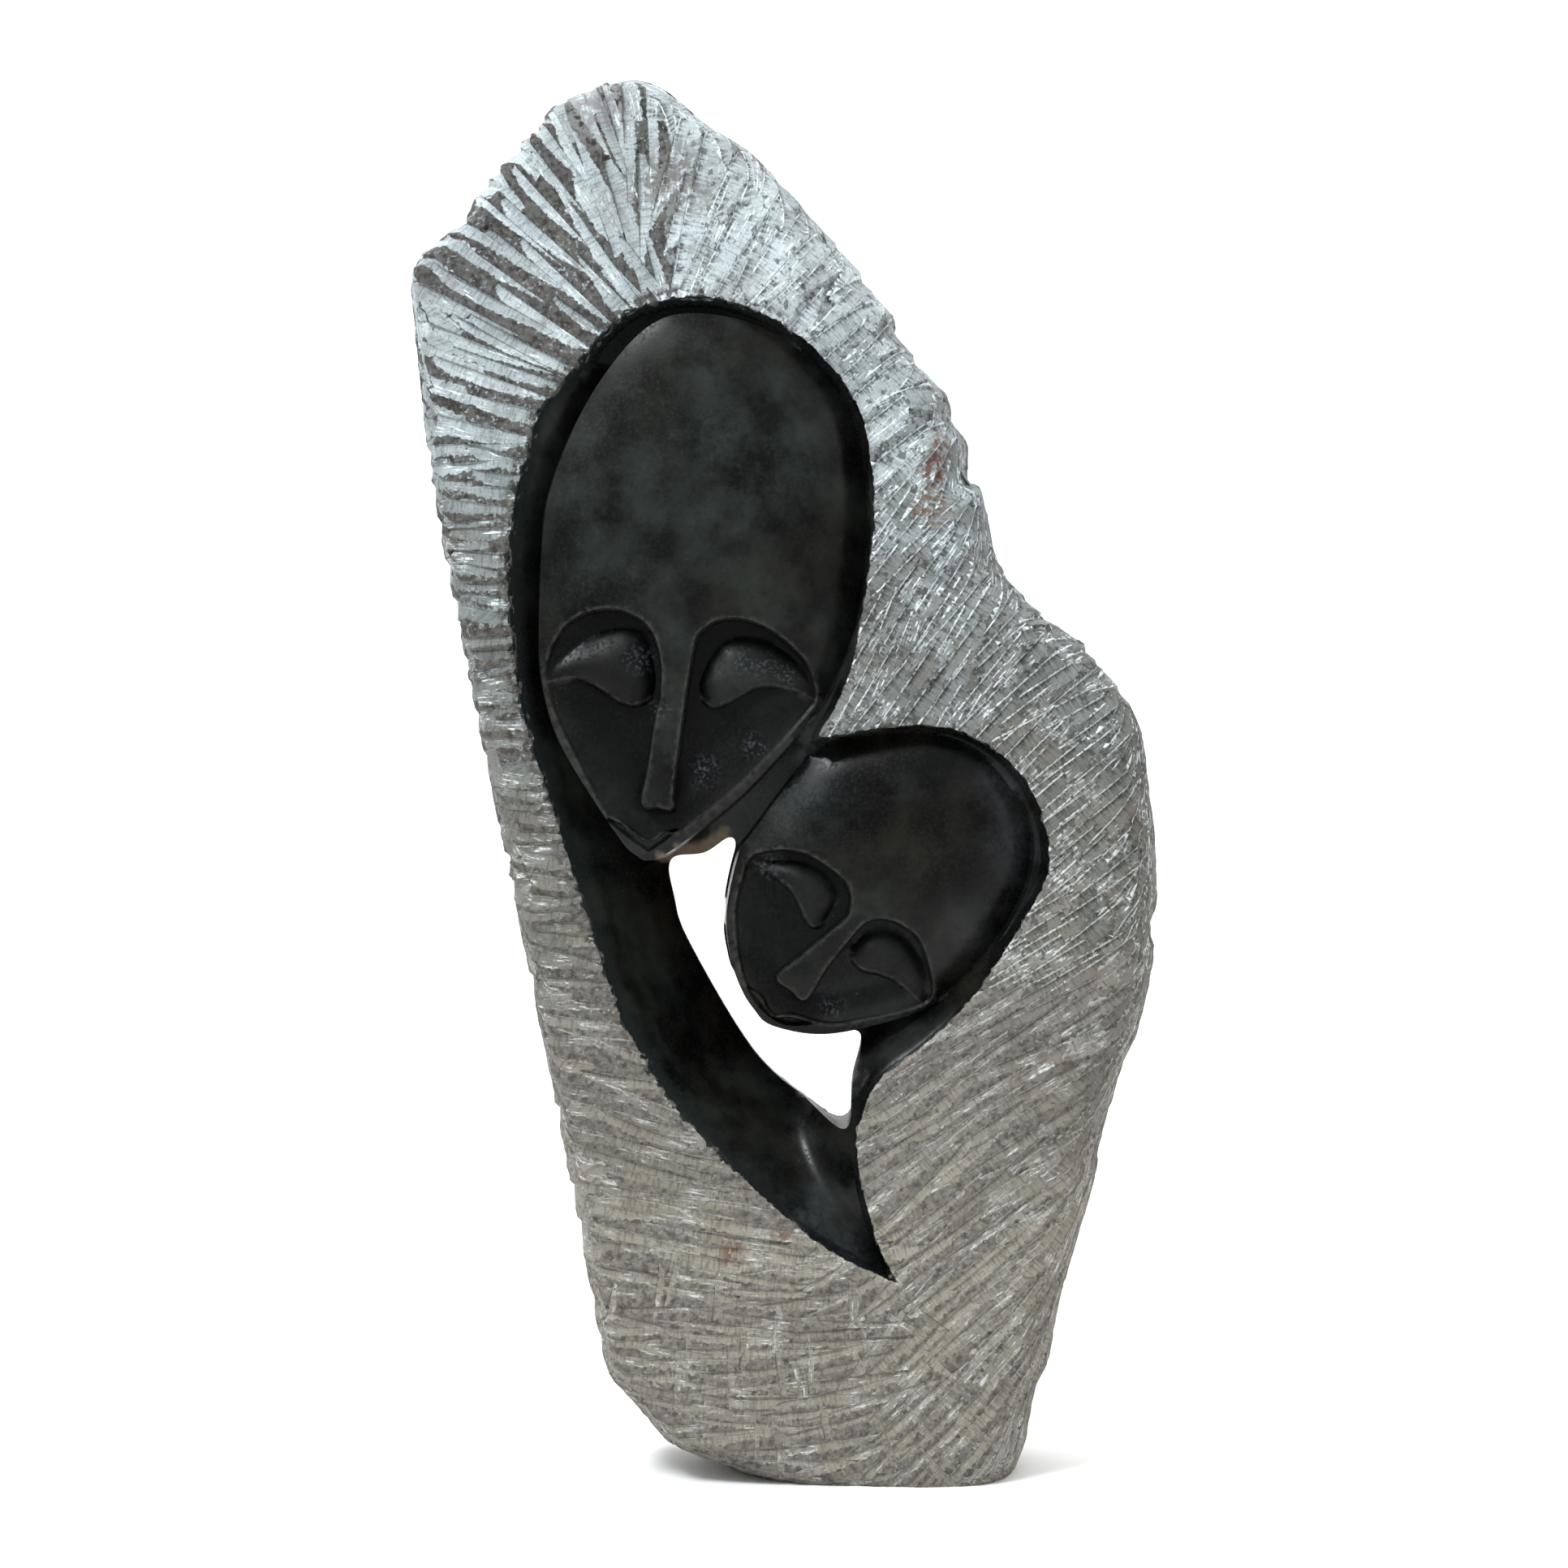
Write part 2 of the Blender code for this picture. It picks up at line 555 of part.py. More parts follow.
def build_stone():
    """The whole sculpture as one closed mesh, standing on z = 0 over the origin."""
    bm = bmesh.new()
    rings = edge_rings(OUTER, rounding_along(OUTER), EDGE_ROWS)
    face_edge = rings[-1][1]
    back_rows = [standing(loop, -share * back_plane(loop)) for share, loop in rings[1:]]
    front_rows = [standing(loop, share * front_plane(loop)) for share, loop in rings]
    add_strip(bm, back_rows[::-1] + front_rows)

    zones = [(face_edge, ROUGH_SHEET), (RIM, HOLLOW_SHEET),
             (MOTHER_HEAD, HEAD_SHEET), (CHILD_HEAD, HEAD_SHEET)]
    zones += [(smooth_curve(face["carved"], CARVING_FACET), SOCKET_SHEET)
              for face in (MOTHER, CHILD)]
    points, faces, on_line = sheet(zones, THROUGH, carving_lines())
    floor = inside(points, RIM) & ~inside(points, MOTHER_HEAD) & ~inside(points, CHILD_HEAD)
    height = smoothed(points, faces, front_height(points), on_line | ~floor)
    add_sheet(bm, points, faces, height)

    rear_hole = inset(THROUGH, -HOLE_FLARE)
    points, faces, _ = sheet([(face_edge, BACK_SHEET)], rear_hole, [])
    add_sheet(bm, points, faces, -back_plane(points))
    near, far = front_height(THROUGH), -back_plane(rear_hole)
    wall = []
    for share in np.linspace(0.0, 1.0, HOLE_ROWS):
        loop = THROUGH + (rear_hole - THROUGH) * share ** 2
        wall.append(standing(loop, near + (far - near) * share))
    add_strip(bm, wall)

    bmesh.ops.remove_doubles(bm, verts=bm.verts, dist=0.02 * MM)
    cut_foot(bm)
    stand_over_origin(bm)
    bmesh.ops.recalc_face_normals(bm, faces=bm.faces)
    bmesh.ops.triangulate(bm, faces=bm.faces)
    return bm


def stone_material():
    """Dark stone with a dull, bruised surface."""
    material = bpy.data.materials.new("dark_stone")
    material.use_nodes = True
    shader = material.node_tree.nodes["Principled BSDF"]
    shader.inputs["Base Color"].default_value = (0.20, 0.20, 0.18, 1.0)
    shader.inputs["Roughness"].default_value = 0.6
    shader.inputs["Metallic"].default_value = 0.0
    return material


def main():
    for obj in list(bpy.data.objects):
        bpy.data.objects.remove(obj)
    bm = build_stone()
    mesh = bpy.data.meshes.new("sculpture")
    bm.to_mesh(mesh)
    bm.free()
    mesh.shade_smooth()
    mesh.set_sharp_from_angle(angle=math.radians(CREASE_ANGLE))
    mesh.materials.append(stone_material())
    sculpture = bpy.data.objects.new("sculpture", mesh)
    bpy.context.scene.collection.objects.link(sculpture)


main()
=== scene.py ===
import math

import bmesh
import bpy
import numpy as np
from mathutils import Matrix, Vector, kdtree, noise
from mathutils.geometry import delaunay_2d_cdt


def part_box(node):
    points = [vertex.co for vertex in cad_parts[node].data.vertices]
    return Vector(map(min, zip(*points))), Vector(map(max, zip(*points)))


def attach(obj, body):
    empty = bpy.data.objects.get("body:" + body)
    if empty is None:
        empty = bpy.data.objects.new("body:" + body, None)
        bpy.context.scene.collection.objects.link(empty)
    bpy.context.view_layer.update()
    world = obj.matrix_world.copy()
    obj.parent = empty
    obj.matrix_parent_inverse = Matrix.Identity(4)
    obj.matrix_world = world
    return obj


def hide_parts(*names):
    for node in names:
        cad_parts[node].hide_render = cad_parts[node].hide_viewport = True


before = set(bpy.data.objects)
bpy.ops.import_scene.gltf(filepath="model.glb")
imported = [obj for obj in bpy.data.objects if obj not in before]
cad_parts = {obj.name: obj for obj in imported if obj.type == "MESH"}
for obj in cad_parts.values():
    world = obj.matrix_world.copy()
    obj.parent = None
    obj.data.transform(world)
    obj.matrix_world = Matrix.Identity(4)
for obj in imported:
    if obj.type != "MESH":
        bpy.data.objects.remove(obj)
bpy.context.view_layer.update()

STONE = "sculpture"

# The carving, in millimetres of the drawing
DRAWN_HEIGHT = 527.0
DRAWN_WIDTH = 283.0
FRONT_DEPTH = 38.0
BACK_DEPTH = 38.0
TOP_THINNING = 9.0
BACK_SWELL = 2.5
GROOVE_DEPTH = 10.0
CHANNEL_DEPTH = 36.0
CHEEK_RIM_DEPTH = 1.3
LIP_CUT = 2.4
ROUND_LEFT = 9.0
ROUND_RIGHT = 20.0
THIN_FROM = 360.0
BACK_THIN_FROM = 315.0
HOLE_FLARE = 2.5
WALL = 1.2
RIM_WALL = 2.4
LID_BEVEL = 1.5
LIP_WALL = 0.7
FACE_TO_HOLE = 2.0
CHANNEL_FADE = 60.0
SHOULDER_REACH = 30.0
SHOULDER_WIDTH = 7.0
LID_SPAN = 14.0
LID_TAPER = 8.0
FLOOR_SLOPE = 1.6
WALL_SLOPE = 5.0
SHOULDER_SLOPE = 2.0
ROUND_POWER = 2.2
LID_EDGE = 0.65

# Mesh sizes
OUTLINE_FACET = 2.3
RIM_FACET = 1.4
FACE_FACET = 1.5
CARVING_FACET = 1.2
ROUGH_SHEET = 1.9
HOLLOW_SHEET = 2.0
HEAD_SHEET = 2.2
SOCKET_SHEET = 1.3
BACK_SHEET = 3.4
EDGE_ROWS = 18
FRONT_ROWS = 7
HOLE_ROWS = 22
LINE_TO_HOLE = 0.5
LINE_GAP = 0.35
SOFTENING = 110
CREASE_ANGLE = 38.0

# Tool marks: how far the untouched stone stands over the plane, the broken stone's
# roughness and the width of the step along a mark's crisp edge
TOOL_PROUD = 0.5
BROKEN_NOISE = 0.42
CUT_NOISE = 0.07
STEP_WIDTH = 0.45
STEP_FACET = 2.1
RIM_MARGIN = 5.0
BORDER_SHARE = 0.4
FOOT_HEIGHT = 0.01

# The polish ends this far in front of the back, and the rim lies in front of this depth
BACK_CLEAR = 4.5
RIM_FRONT = -15.0

# How the marks are strewn: their least gaps and how much they vary at random
RANDOM_SEED = 11
MOST_MARKS = 6000
SEED_SPACING = 1.6
ANGLE_SPREAD = 0.07
END_GAP = 0.56
LEVEL_GAP = 12.0
CROSSED_LENGTH = 0.5
REVERSED_SHARE = 0.15
STARTS_TOWARDS = (-20.0, 0.0, 300.0)
SIZE_SPREAD = ((0.85, 1.6), (0.85, 1.3), (0.6, 1.2), (0.6, 1.4))
LEAST_ALONG = 0.35
GRAIN_BLUR = 4.0
STROKE_THICKNESS = 9.0
DARK_DEPTH = 0.001

# Each region's marks: length, width, depth, share left dark, pitch across, ridge, crossed
MARKS = {
    "back": (42.0, 12.0, 1.3, 0.25, 0.9, 0.2, 0.2),
    "crown": (46.0, 7.4, 2.2, 0.34, 0.86, 0.1, 0.0),
    "shoulder": (34.0, 10.0, 1.5, 0.12, 0.82, 0.9, 0.0),
    "left": (32.0, 6.4, 1.8, 0.30, 0.84, 0.1, 0.0),
    "foot": (38.0, 4.8, 1.4, 0.34, 0.88, 0.15, 0.04),
    "lower": (44.0, 5.8, 1.8, 0.26, 0.86, 0.4, 0.0),
    "right": (30.0, 6.0, 1.8, 0.0, 0.76, 1.0, 0.0),
}
SIDE_SCALLOP = (34.0, 11.0, 2.4)

OUTLINE = [
    (58, -16), (86, -2), (95, 30.5), (99.5, 39.5), (106, 69.5), (118, 111), (119.5, 123.5),
    (128.5, 154), (134, 166.5), (140, 192.5), (139.5, 208), (141.5, 217), (140, 249.5),
    (134, 285), (114, 313), (93.5, 329), (80.5, 346.5), (75, 372.5), (69.5, 375.5),
    (69, 389.5), (63.5, 398.5), (61.5, 408), (43.5, 429.5), (36.5, 445), (-6.5, 494),
    (-32, 512.5), (-54, 527), (-82, 521), (-95.5, 508.5), (-117, 483.5), (-122, 473.5),
    (-141, 457), (-141, 435.5), (-134, 372.5), (-119.5, 297), (-87, 137.5), (-71.5, 55.5),
    (-67, 37.5), (-56, 25.5), (-42, 10.5), (-2, -5), (26, -11),
]

# Edge of the polished hollow, from the point of rough stone between the two heads, over
# the mother's crown and down the left to the tip of the channel
RIM_OVER = [
    (11.5, 277), (19, 290), (26, 310), (32.5, 352), (32, 376), (27, 400), (13, 419.5),
    (-5, 433), (-26, 440.5), (-47, 439.5), (-63.5, 431.5), (-88.5, 402), (-96.5, 382),
    (-101.5, 358), (-103, 334), (-98, 289), (-85, 247), (-66.5, 189.5), (-57.5, 167),
    (-35, 134), (10, 92), (42, 75.5),
]

# The same edge from the tip back up, round under and over the child's head
RIM_UNDER = [
    (42, 75.5), (33.5, 92), (26.5, 123.5), (29, 140), (36, 152), (48, 161), (61.5, 173),
    (75, 189), (95.5, 222.5), (97.5, 238), (93, 254.5), (85, 266.5), (74, 275.5),
    (60, 281), (43.5, 282), (11.5, 277),
]

# Past this point the left side of the hollow is a gentle cove instead of a wall
COVE_FROM = (-75, 419)

# Middle of the broad polished shoulder beside the hole
SHOULDER = (37, 156)

# The opening right through the stone, between the two chins and the channel
HOLE = [
    (-44.5, 231.5), (-31, 234), (-19, 240), (-22, 213.5), (-21, 197.5), (-12, 176),
    (6.5, 167), (28, 167.5), (25, 148), (23, 131.5), (10.5, 138), (-12, 157.5),
    (-37.5, 200), (-43, 217),
]

MOTHER = {
    "head": [
        (-38.5, 435), (-21.5, 434), (-6.5, 429), (10, 418), (24, 399), (29.5, 376.5),
        (30.5, 352), (28, 329.5), (24, 313), (13, 289.5), (-11, 261.5), (-28.5, 246),
        (-45, 234), (-52, 232), (-55, 233.5), (-62, 240.5), (-83, 273.5), (-90.5, 296),
        (-92, 316), (-90.5, 355), (-87, 372.5), (-80, 390.5), (-71.5, 406.5),
        (-60.5, 421.5), (-50, 431),
    ],
    # Sunk below the forehead: both sockets and cheeks, with the nose left standing
    "carved": [
        (-88.5, 308), (-80, 321), (-65.5, 325.5), (-52.5, 320.5), (-46.5, 309), (-46, 293),
        (-48, 284.5), (-51, 265), (-53, 253), (-47.5, 252), (-42, 251.5), (-41.5, 261.5),
        (-35, 307.5), (-30.5, 318), (-19.5, 322), (-6, 318), (6.5, 307.5), (10.5, 299.5),
        (12, 292.5), (9, 287), (-5.5, 271), (-23, 254.5), (-38.5, 243), (-45.5, 242),
        (-51.5, 239), (-62, 246.5), (-66.5, 249), (-73.5, 261), (-88.5, 292.5),
    ],
    # Each closed lid: its crisp lower edge, then the upper edge that melts into the socket
    "lids": [
        (
            [(-90, 298), (-78.5, 300), (-72, 298), (-58.5, 290), (-49.5, 293)],
            [(-90, 298), (-85, 305.5), (-72, 316), (-64, 318.5), (-57, 318.5), (-52, 315),
             (-48.5, 300.5), (-49.5, 293)],
        ),
        (
            [(-31, 292.5), (-25.5, 289.5), (-9.5, 297), (3, 295.5), (11, 291.5)],
            [(-31, 292.5), (-32, 298.5), (-25.5, 311.5), (-19.5, 315), (-12.5, 315),
             (-5, 312.5), (2.5, 307.5), (8, 300.5), (11, 291.5)],
        ),
    ],
    "mouth": [
        (-67, 248), (-57, 243.5), (-51.5, 239), (-45, 242.5), (-40, 244), (-41.5, 241.5),
        (-50, 235.5), (-52.5, 236), (-62, 243),
    ],
    "socket": 9.0,
    "lid": 6.5,
    "arch": 7.0,
    "chin": (-52, 232),
    "crown": (-22, 434),
    "half_width": 60.0,
    "lift": 2.0,
    "roll_left": (18.0, 2.0),
    "roll_right": (26.0, 6.8),
    "fall": 0.0,
    "cheek_reach": 24.0,
    "jaw": 330.0,
}

CHILD = {
    "head": [
        (15.5, 274.5), (27, 277.5), (43.5, 279), (58.5, 277.5), (72, 271.5), (82.5, 261),
        (90, 248), (92, 234.5), (89, 221), (82, 207.5), (72, 194), (60, 182), (46.5, 174),
        (16.5, 167), (-4.5, 170), (-12, 176.5), (-17.5, 186), (-21, 198), (-22, 213.5),
        (-17.5, 234.5), (-12.5, 242), (5, 265),
    ],
    "carved": [
        (-13.5, 233), (-7, 235.5), (2, 236), (11, 233), (23, 223.5), (24, 212.5),
        (16.5, 205), (5.5, 196), (-3, 188.5), (2, 184), (7.5, 180.5), (15, 192),
        (22.5, 201.5), (29.5, 209), (37, 210.5), (44.5, 207.5), (51, 201), (55.5, 185),
        (53.5, 178.5), (43.5, 175), (28.5, 172), (16.5, 170.5), (2.5, 174), (-5, 174),
        (-9.5, 181), (-15, 185.5), (-18, 198), (-19, 213.5), (-16.5, 225.5),
    ],
    "lids": [
        (
            [(-12, 231.5), (2, 221.5), (8, 210), (11, 207.5), (14.5, 209)],
            [(-12, 231.5), (3.5, 231.5), (12, 228.5), (17.5, 223.5), (19.5, 218),
             (14.5, 209)],
        ),
        (
            [(24, 198), (28, 192), (35.5, 190), (42.5, 186.5), (52, 177.5)],
            [(24, 198), (29, 204), (36, 206), (43, 204), (49, 197), (52.5, 188),
             (52, 177.5)],
        ),
    ],
    "mouth": [
        (-15, 185.5), (-8.5, 180.5), (-5, 174), (2.5, 173.5), (10.5, 171), (-0.5, 170.5),
        (-9.5, 176.5),
    ],
    "socket": 7.0,
    "lid": 4.5,
    "arch": 7.0,
    "chin": (-8, 172),
    "crown": (78, 268),
    "half_width": 52.0,
    "lift": -1.0,
    "roll_left": (20.0, 4.0),
    "roll_right": (21.0, 6.2),
    "fall": 3.0,
    "cheek_reach": 17.0,
    "jaw": 235.0,
}

# Directions of the tool marks round the rough border: x, z and degrees above level
GRAIN = [
    (-122, 445, -33), (-110, 460, -38), (-95, 481, -48), (-80, 493, -58), (-66, 499, -68),
    (-53, 496, -84), (-35, 487, 76), (-11, 472, 64), (10, 448, 52), (28, 424, 40),
    (-83, 442, -45), (-107, 418, -25), (-122, 406, -14), (-98, 394, -14), (-119, 370, -4),
    (-113, 340, -4), (-110, 295, 3), (-104, 265, -4), (-92, 223, -5), (-83, 187, -8),
    (-68, 154, -11), (-56, 127, -16), (-44, 97, -9), (-50, 67, -8), (-32, 40, -4),
    (-5, 19, 0), (-2, 82, -6), (20, 62, 2), (10, 34, 5), (43, 58, 55), (43, 394, 38),
    (55, 364, 48), (64, 322, 54), (34, 304, 62), (46, 289, 58), (91, 310, 44),
    (109, 286, 33), (121, 256, 40), (124, 220, 40), (112, 184, 30), (85, 160, 28),
    (100, 130, 30), (55, 130, 33), (70, 100, 35), (91, 82, 40), (55, 82, 40),
    (82, 46, 46), (64, 19, 48), (43, 103, 38),
]

# Stains on the rough front, in metres: x, z, radius and colour, rust-red or natural skin
FRONT_RUST = -0.036
RUST = [
    (0.0605, 0.386, 0.0085, (0.105, 0.032, 0.022, 1)),
    (0.0555, 0.376, 0.0085, (0.085, 0.026, 0.019, 1)),
    (0.0540, 0.363, 0.0100, (0.120, 0.078, 0.052, 1)),
    (0.0790, 0.344, 0.0110, (0.105, 0.095, 0.075, 1)),
    (-0.0190, 0.0865, 0.0070, (0.110, 0.045, 0.032, 1)),
    (-0.0010, 0.0930, 0.0060, (0.100, 0.060, 0.045, 1)),
    (-0.0700, 0.5120, 0.0190, (0.205, 0.205, 0.205, 1)),
    (-0.0420, 0.4850, 0.0200, (0.115, 0.108, 0.100, 1)),
]

# Soft clouds in the polish, in the same form: the brown ones are the stone's own tone, the
# greenish-grey ones are painted sheen and the bluish ones on the child's head and in the channel
# are painted highlights
CLOUDS_AND_SHEEN = [
    (-0.062, 0.360, 0.055, (0.0080, 0.0100, 0.0094, 1)),
    (-0.012, 0.380, 0.038, (0.0105, 0.0132, 0.0128, 1)),
    (0.012, 0.345, 0.030, (0.0052, 0.0050, 0.0036, 1)),
    (-0.036, 0.285, 0.022, (0.0115, 0.0132, 0.0118, 1)),
    (0.008, 0.255, 0.024, (0.0085, 0.0108, 0.0112, 1)),
    (0.050, 0.235, 0.032, (0.0050, 0.0045, 0.0030, 1)),
    (0.080, 0.258, 0.013, (0.0150, 0.0160, 0.0185, 1)),
    (0.084, 0.240, 0.014, (0.0150, 0.0160, 0.0185, 1)),
    (0.079, 0.221, 0.014, (0.0135, 0.0140, 0.0155, 1)),
    (0.068, 0.202, 0.013, (0.0100, 0.0100, 0.0100, 1)),
    (-0.040, 0.212, 0.022, (0.0080, 0.0060, 0.0042, 1)),
    (-0.016, 0.172, 0.022, (0.0080, 0.0062, 0.0045, 1)),
    (0.009, 0.099, 0.014, (0.0160, 0.0200, 0.0220, 1)),
    (0.024, 0.088, 0.011, (0.0130, 0.0155, 0.0170, 1)),
]

# Small bluish scuffs on the polish, in the same form, which also paint the soft broken highlights
# on the lids
SCUFF_AND_HIGHLIGHT = (0.033, 0.039, 0.046, 1)
SCUFFS_AND_HIGHLIGHTS = [
    (-0.0545, 0.3065, 0.0060), (-0.0155, 0.3045, 0.0060), (-0.0070, 0.3030, 0.0055),
    (0.0010, 0.3000, 0.0045), (-0.0110, 0.2740, 0.0050), (-0.0300, 0.2650, 0.0060),
    (-0.0455, 0.2870, 0.0040), (-0.0050, 0.2300, 0.0050), (0.0180, 0.1770, 0.0050),
]

# Colours of the stone: by height in metres, or plain
# The fresh and dust colours grow paler and bluer towards the top: painted cool light from above
# over the stone's own colour
FRESH_WITH_PAINTED_COOL_TOP = [
    (0.08, (0.198, 0.187, 0.154)), (0.20, (0.134, 0.129, 0.111)),
    (0.28, (0.118, 0.124, 0.117)), (0.36, (0.172, 0.196, 0.195)),
    (0.43, (0.320, 0.362, 0.375)),
]
GROUND = [
    (0.08, (0.128, 0.119, 0.104)), (0.25, (0.075, 0.072, 0.063)),
    (0.40, (0.060, 0.056, 0.052)),
]
DUST_WITH_PAINTED_COOL_TOP = ((0.26, 0.262, 0.25, 1), (0.34, 0.385, 0.40, 1))
SKIN = (0.20, 0.165, 0.145, 1)
DEEP_BLACK = (0.0010, 0.0013, 0.0014, 1)
GREEN_BLACK = (0.0090, 0.0108, 0.0095, 1)
BROWN_BLACK = (0.0052, 0.0045, 0.0032, 1)
# Painted shade for the sockets and cheeks
SOCKET_PAINTED_SHADE = (0.0010, 0.0013, 0.0015, 1)
# Painted light for the left bevel of the hollow
BEVEL_PAINTED_LIGHT = (0.0105, 0.0145, 0.0140, 1)
SPECK = (0.10, 0.11, 0.115, 1)
WORN = (0.040, 0.041, 0.036, 1)
RAW_BROWN = ((0.060, 0.044, 0.030, 1), (0.19, 0.150, 0.108, 1))

# The studio, in metres: floor, lights (name, place, size, power, colour), sky and camera
FLOOR_FRONT = 2.0
FLOOR_RUN = 1.6
FLOOR_RISE = 2.4
FLOOR_BEND = 0.7
FLOOR_SIDE = 2.6
LIGHT_AIM = Vector((0.0, 0.0, 0.27))
LIGHTS = [
    ("key", (-0.75, -0.95, 1.55), 0.45, 34.0, (0.94, 0.98, 1.0)),
    ("side", (1.6, -0.7, 0.8), 0.9, 5.0, (1.0, 0.96, 0.90)),
    ("backdrop", (0.0, 0.3, 2.2), 2.0, 34.0, (1.0, 1.0, 1.0)),
]
SKY_FADE = {"From Min": 0.0, "From Max": 0.9, "To Min": 0.42, "To Max": 1.0}
CAMERA_LENS = 68.3
CAMERA_SENSOR = 36.0
CAMERA_DISTANCE = 1.1
CAMERA_HEIGHT = 0.26
TOOL_REACH = 0.003


def ease(t):
    """Smooth step from 0 to 1."""
    t = np.clip(t, 0.0, 1.0)
    return t * t * (3.0 - 2.0 * t)


def smooth_curve(points, facet, closed=True):
    """A Catmull-Rom curve through the points, resampled evenly about every facet."""
    p = np.array(points, float)
    n = len(p)
    fine = []
    for i in range(n if closed else n - 1):
        before = p[(i - 1) % n] if closed or i > 0 else p[i]
        here = p[i]
        after = p[(i + 1) % n]
        beyond = p[(i + 2) % n] if closed or i + 2 < n else after
        for t in np.linspace(0.0, 1.0, 12, endpoint=False):
            fine.append(0.5 * (
                2 * here + (after - before) * t
                + (2 * before - 5 * here + 4 * after - beyond) * t ** 2
                + (3 * here - before - 3 * after + beyond) * t ** 3
            ))
    fine.append(p[0] if closed else p[-1])
    fine = np.array(fine)
    run = np.concatenate([[0.0], np.cumsum(np.linalg.norm(np.diff(fine, axis=0), axis=1))])
    count = max(4, int(round(run[-1] / facet)))
    stations = np.linspace(0.0, run[-1], count + 1)
    curve = np.stack([np.interp(stations, run, fine[:, k]) for k in (0, 1)], axis=1)
    return curve[:-1] if closed else curve


def distance(points, line, closed=True):
    """Distance from each point to a line of straight facets."""
    starts, ends = line, np.roll(line, -1, axis=0)
    if not closed:
        starts, ends = line[:-1], line[1:]
    best = np.full(len(points), np.inf)
    for start, end in zip(starts, ends):
        run = end - start
        t = np.clip((points - start) @ run / max(run @ run, 1e-12), 0.0, 1.0)
        gap = points - start - t[:, None] * run
        best = np.minimum(best, np.einsum("ij,ij->i", gap, gap))
    return np.sqrt(best)


def inside(points, loop):
    """True for each point inside a closed loop."""
    x, z = points[:, 0], points[:, 1]
    result = np.zeros(len(points), bool)
    for (x1, z1), (x2, z2) in zip(loop, np.roll(loop, -1, axis=0)):
        crosses = (z1 > z) != (z2 > z)
        at = x1 + (z - z1) * (x2 - x1) / ((z2 - z1) or 1e-12)
        result ^= crosses & (x < at)
    return result


def inward(loop):
    """Unit normals of a closed loop, pointing to its inner side."""
    along = np.roll(loop, -1, axis=0) - np.roll(loop, 1, axis=0)
    x, z = loop[:, 0], loop[:, 1]
    turns = np.sum(x * np.roll(z, -1) - np.roll(x, -1) * z)
    normal = np.stack([-along[:, 1], along[:, 0]], axis=1) * math.copysign(1.0, turns)
    return normal / np.linalg.norm(normal, axis=1)[:, None]


def inset(loop, amount):
    """The loop moved inwards by amount, or outwards where it is negative."""
    return loop + inward(loop) * amount


def held_clear(loop, other, gap):
    """The loop, with each point pushed out of another loop until it is gap outside it."""
    dense = np.concatenate([other + (np.roll(other, -1, axis=0) - other) * t
                            for t in np.linspace(0.0, 1.0, 6, endpoint=False)])
    moved = loop.copy()
    for i, point in enumerate(loop):
        away = point - dense
        nearest = np.argmin(np.einsum("ij,ij->i", away, away))
        reach = np.linalg.norm(away[nearest])
        within = inside(point[None], other)[0]
        if within or reach < gap:
            outward = away[nearest] / max(reach, 1e-9) * (-1.0 if within else 1.0)
            moved[i] = dense[nearest] + outward * gap
    return moved


def relaxed(loop, passes):
    """The closed loop with its small kinks smoothed away."""
    for _ in range(passes):
        loop = 0.5 * loop + 0.25 * (np.roll(loop, 1, axis=0) + np.roll(loop, -1, axis=0))
    return loop


# Curves shared by the surfaces
OUTER = smooth_curve(OUTLINE, OUTLINE_FACET)
OVER = smooth_curve(RIM_OVER, RIM_FACET, closed=False)
UNDER = smooth_curve(RIM_UNDER, RIM_FACET, closed=False)
RIM = np.concatenate([OVER[:-1], UNDER[:-1]])
COVE_START = int(np.argmin(np.linalg.norm(OVER - np.array(COVE_FROM, float), axis=1)))
MOTHER_HEAD = smooth_curve(MOTHER["head"], FACE_FACET)
CHILD_HEAD = smooth_curve(CHILD["head"], FACE_FACET)
THROUGH = relaxed(held_clear(
    held_clear(smooth_curve(HOLE, FACE_FACET), CHILD_HEAD, FACE_TO_HOLE),
    MOTHER_HEAD, FACE_TO_HOLE), 3)
FACES = ((MOTHER, MOTHER_HEAD), (CHILD, CHILD_HEAD))


def carved_line(face):
    """Outline of what is sunk below the forehead."""
    return smooth_curve(face["carved"], CARVING_FACET)


def mouth_line(face):
    """Outline of the mouth."""
    return smooth_curve(face["mouth"], CARVING_FACET)


def lid_line(points):
    """The lower or upper edge of a lid."""
    return smooth_curve(points, CARVING_FACET, closed=False)


def front_plane(points):
    """Height of the rough front over the middle plane: the stone thins towards its top."""
    rise = (points[:, 1] - THIN_FROM) / (DRAWN_HEIGHT - THIN_FROM)
    return FRONT_DEPTH - TOP_THINNING * ease(rise)


def back_plane(points):
    """Depth of the back behind the middle plane, slightly uneven like split stone."""
    x, z = (points / DRAWN_HEIGHT).T
    swell = np.sin(9.0 * x + 4.0) * np.cos(7.0 * z) + 0.5 * np.sin(17.0 * z + 6.0 * x)
    rise = (points[:, 1] - BACK_THIN_FROM) / (DRAWN_HEIGHT - BACK_THIN_FROM)
    return BACK_DEPTH - TOP_THINNING * ease(rise) + BACK_SWELL * swell


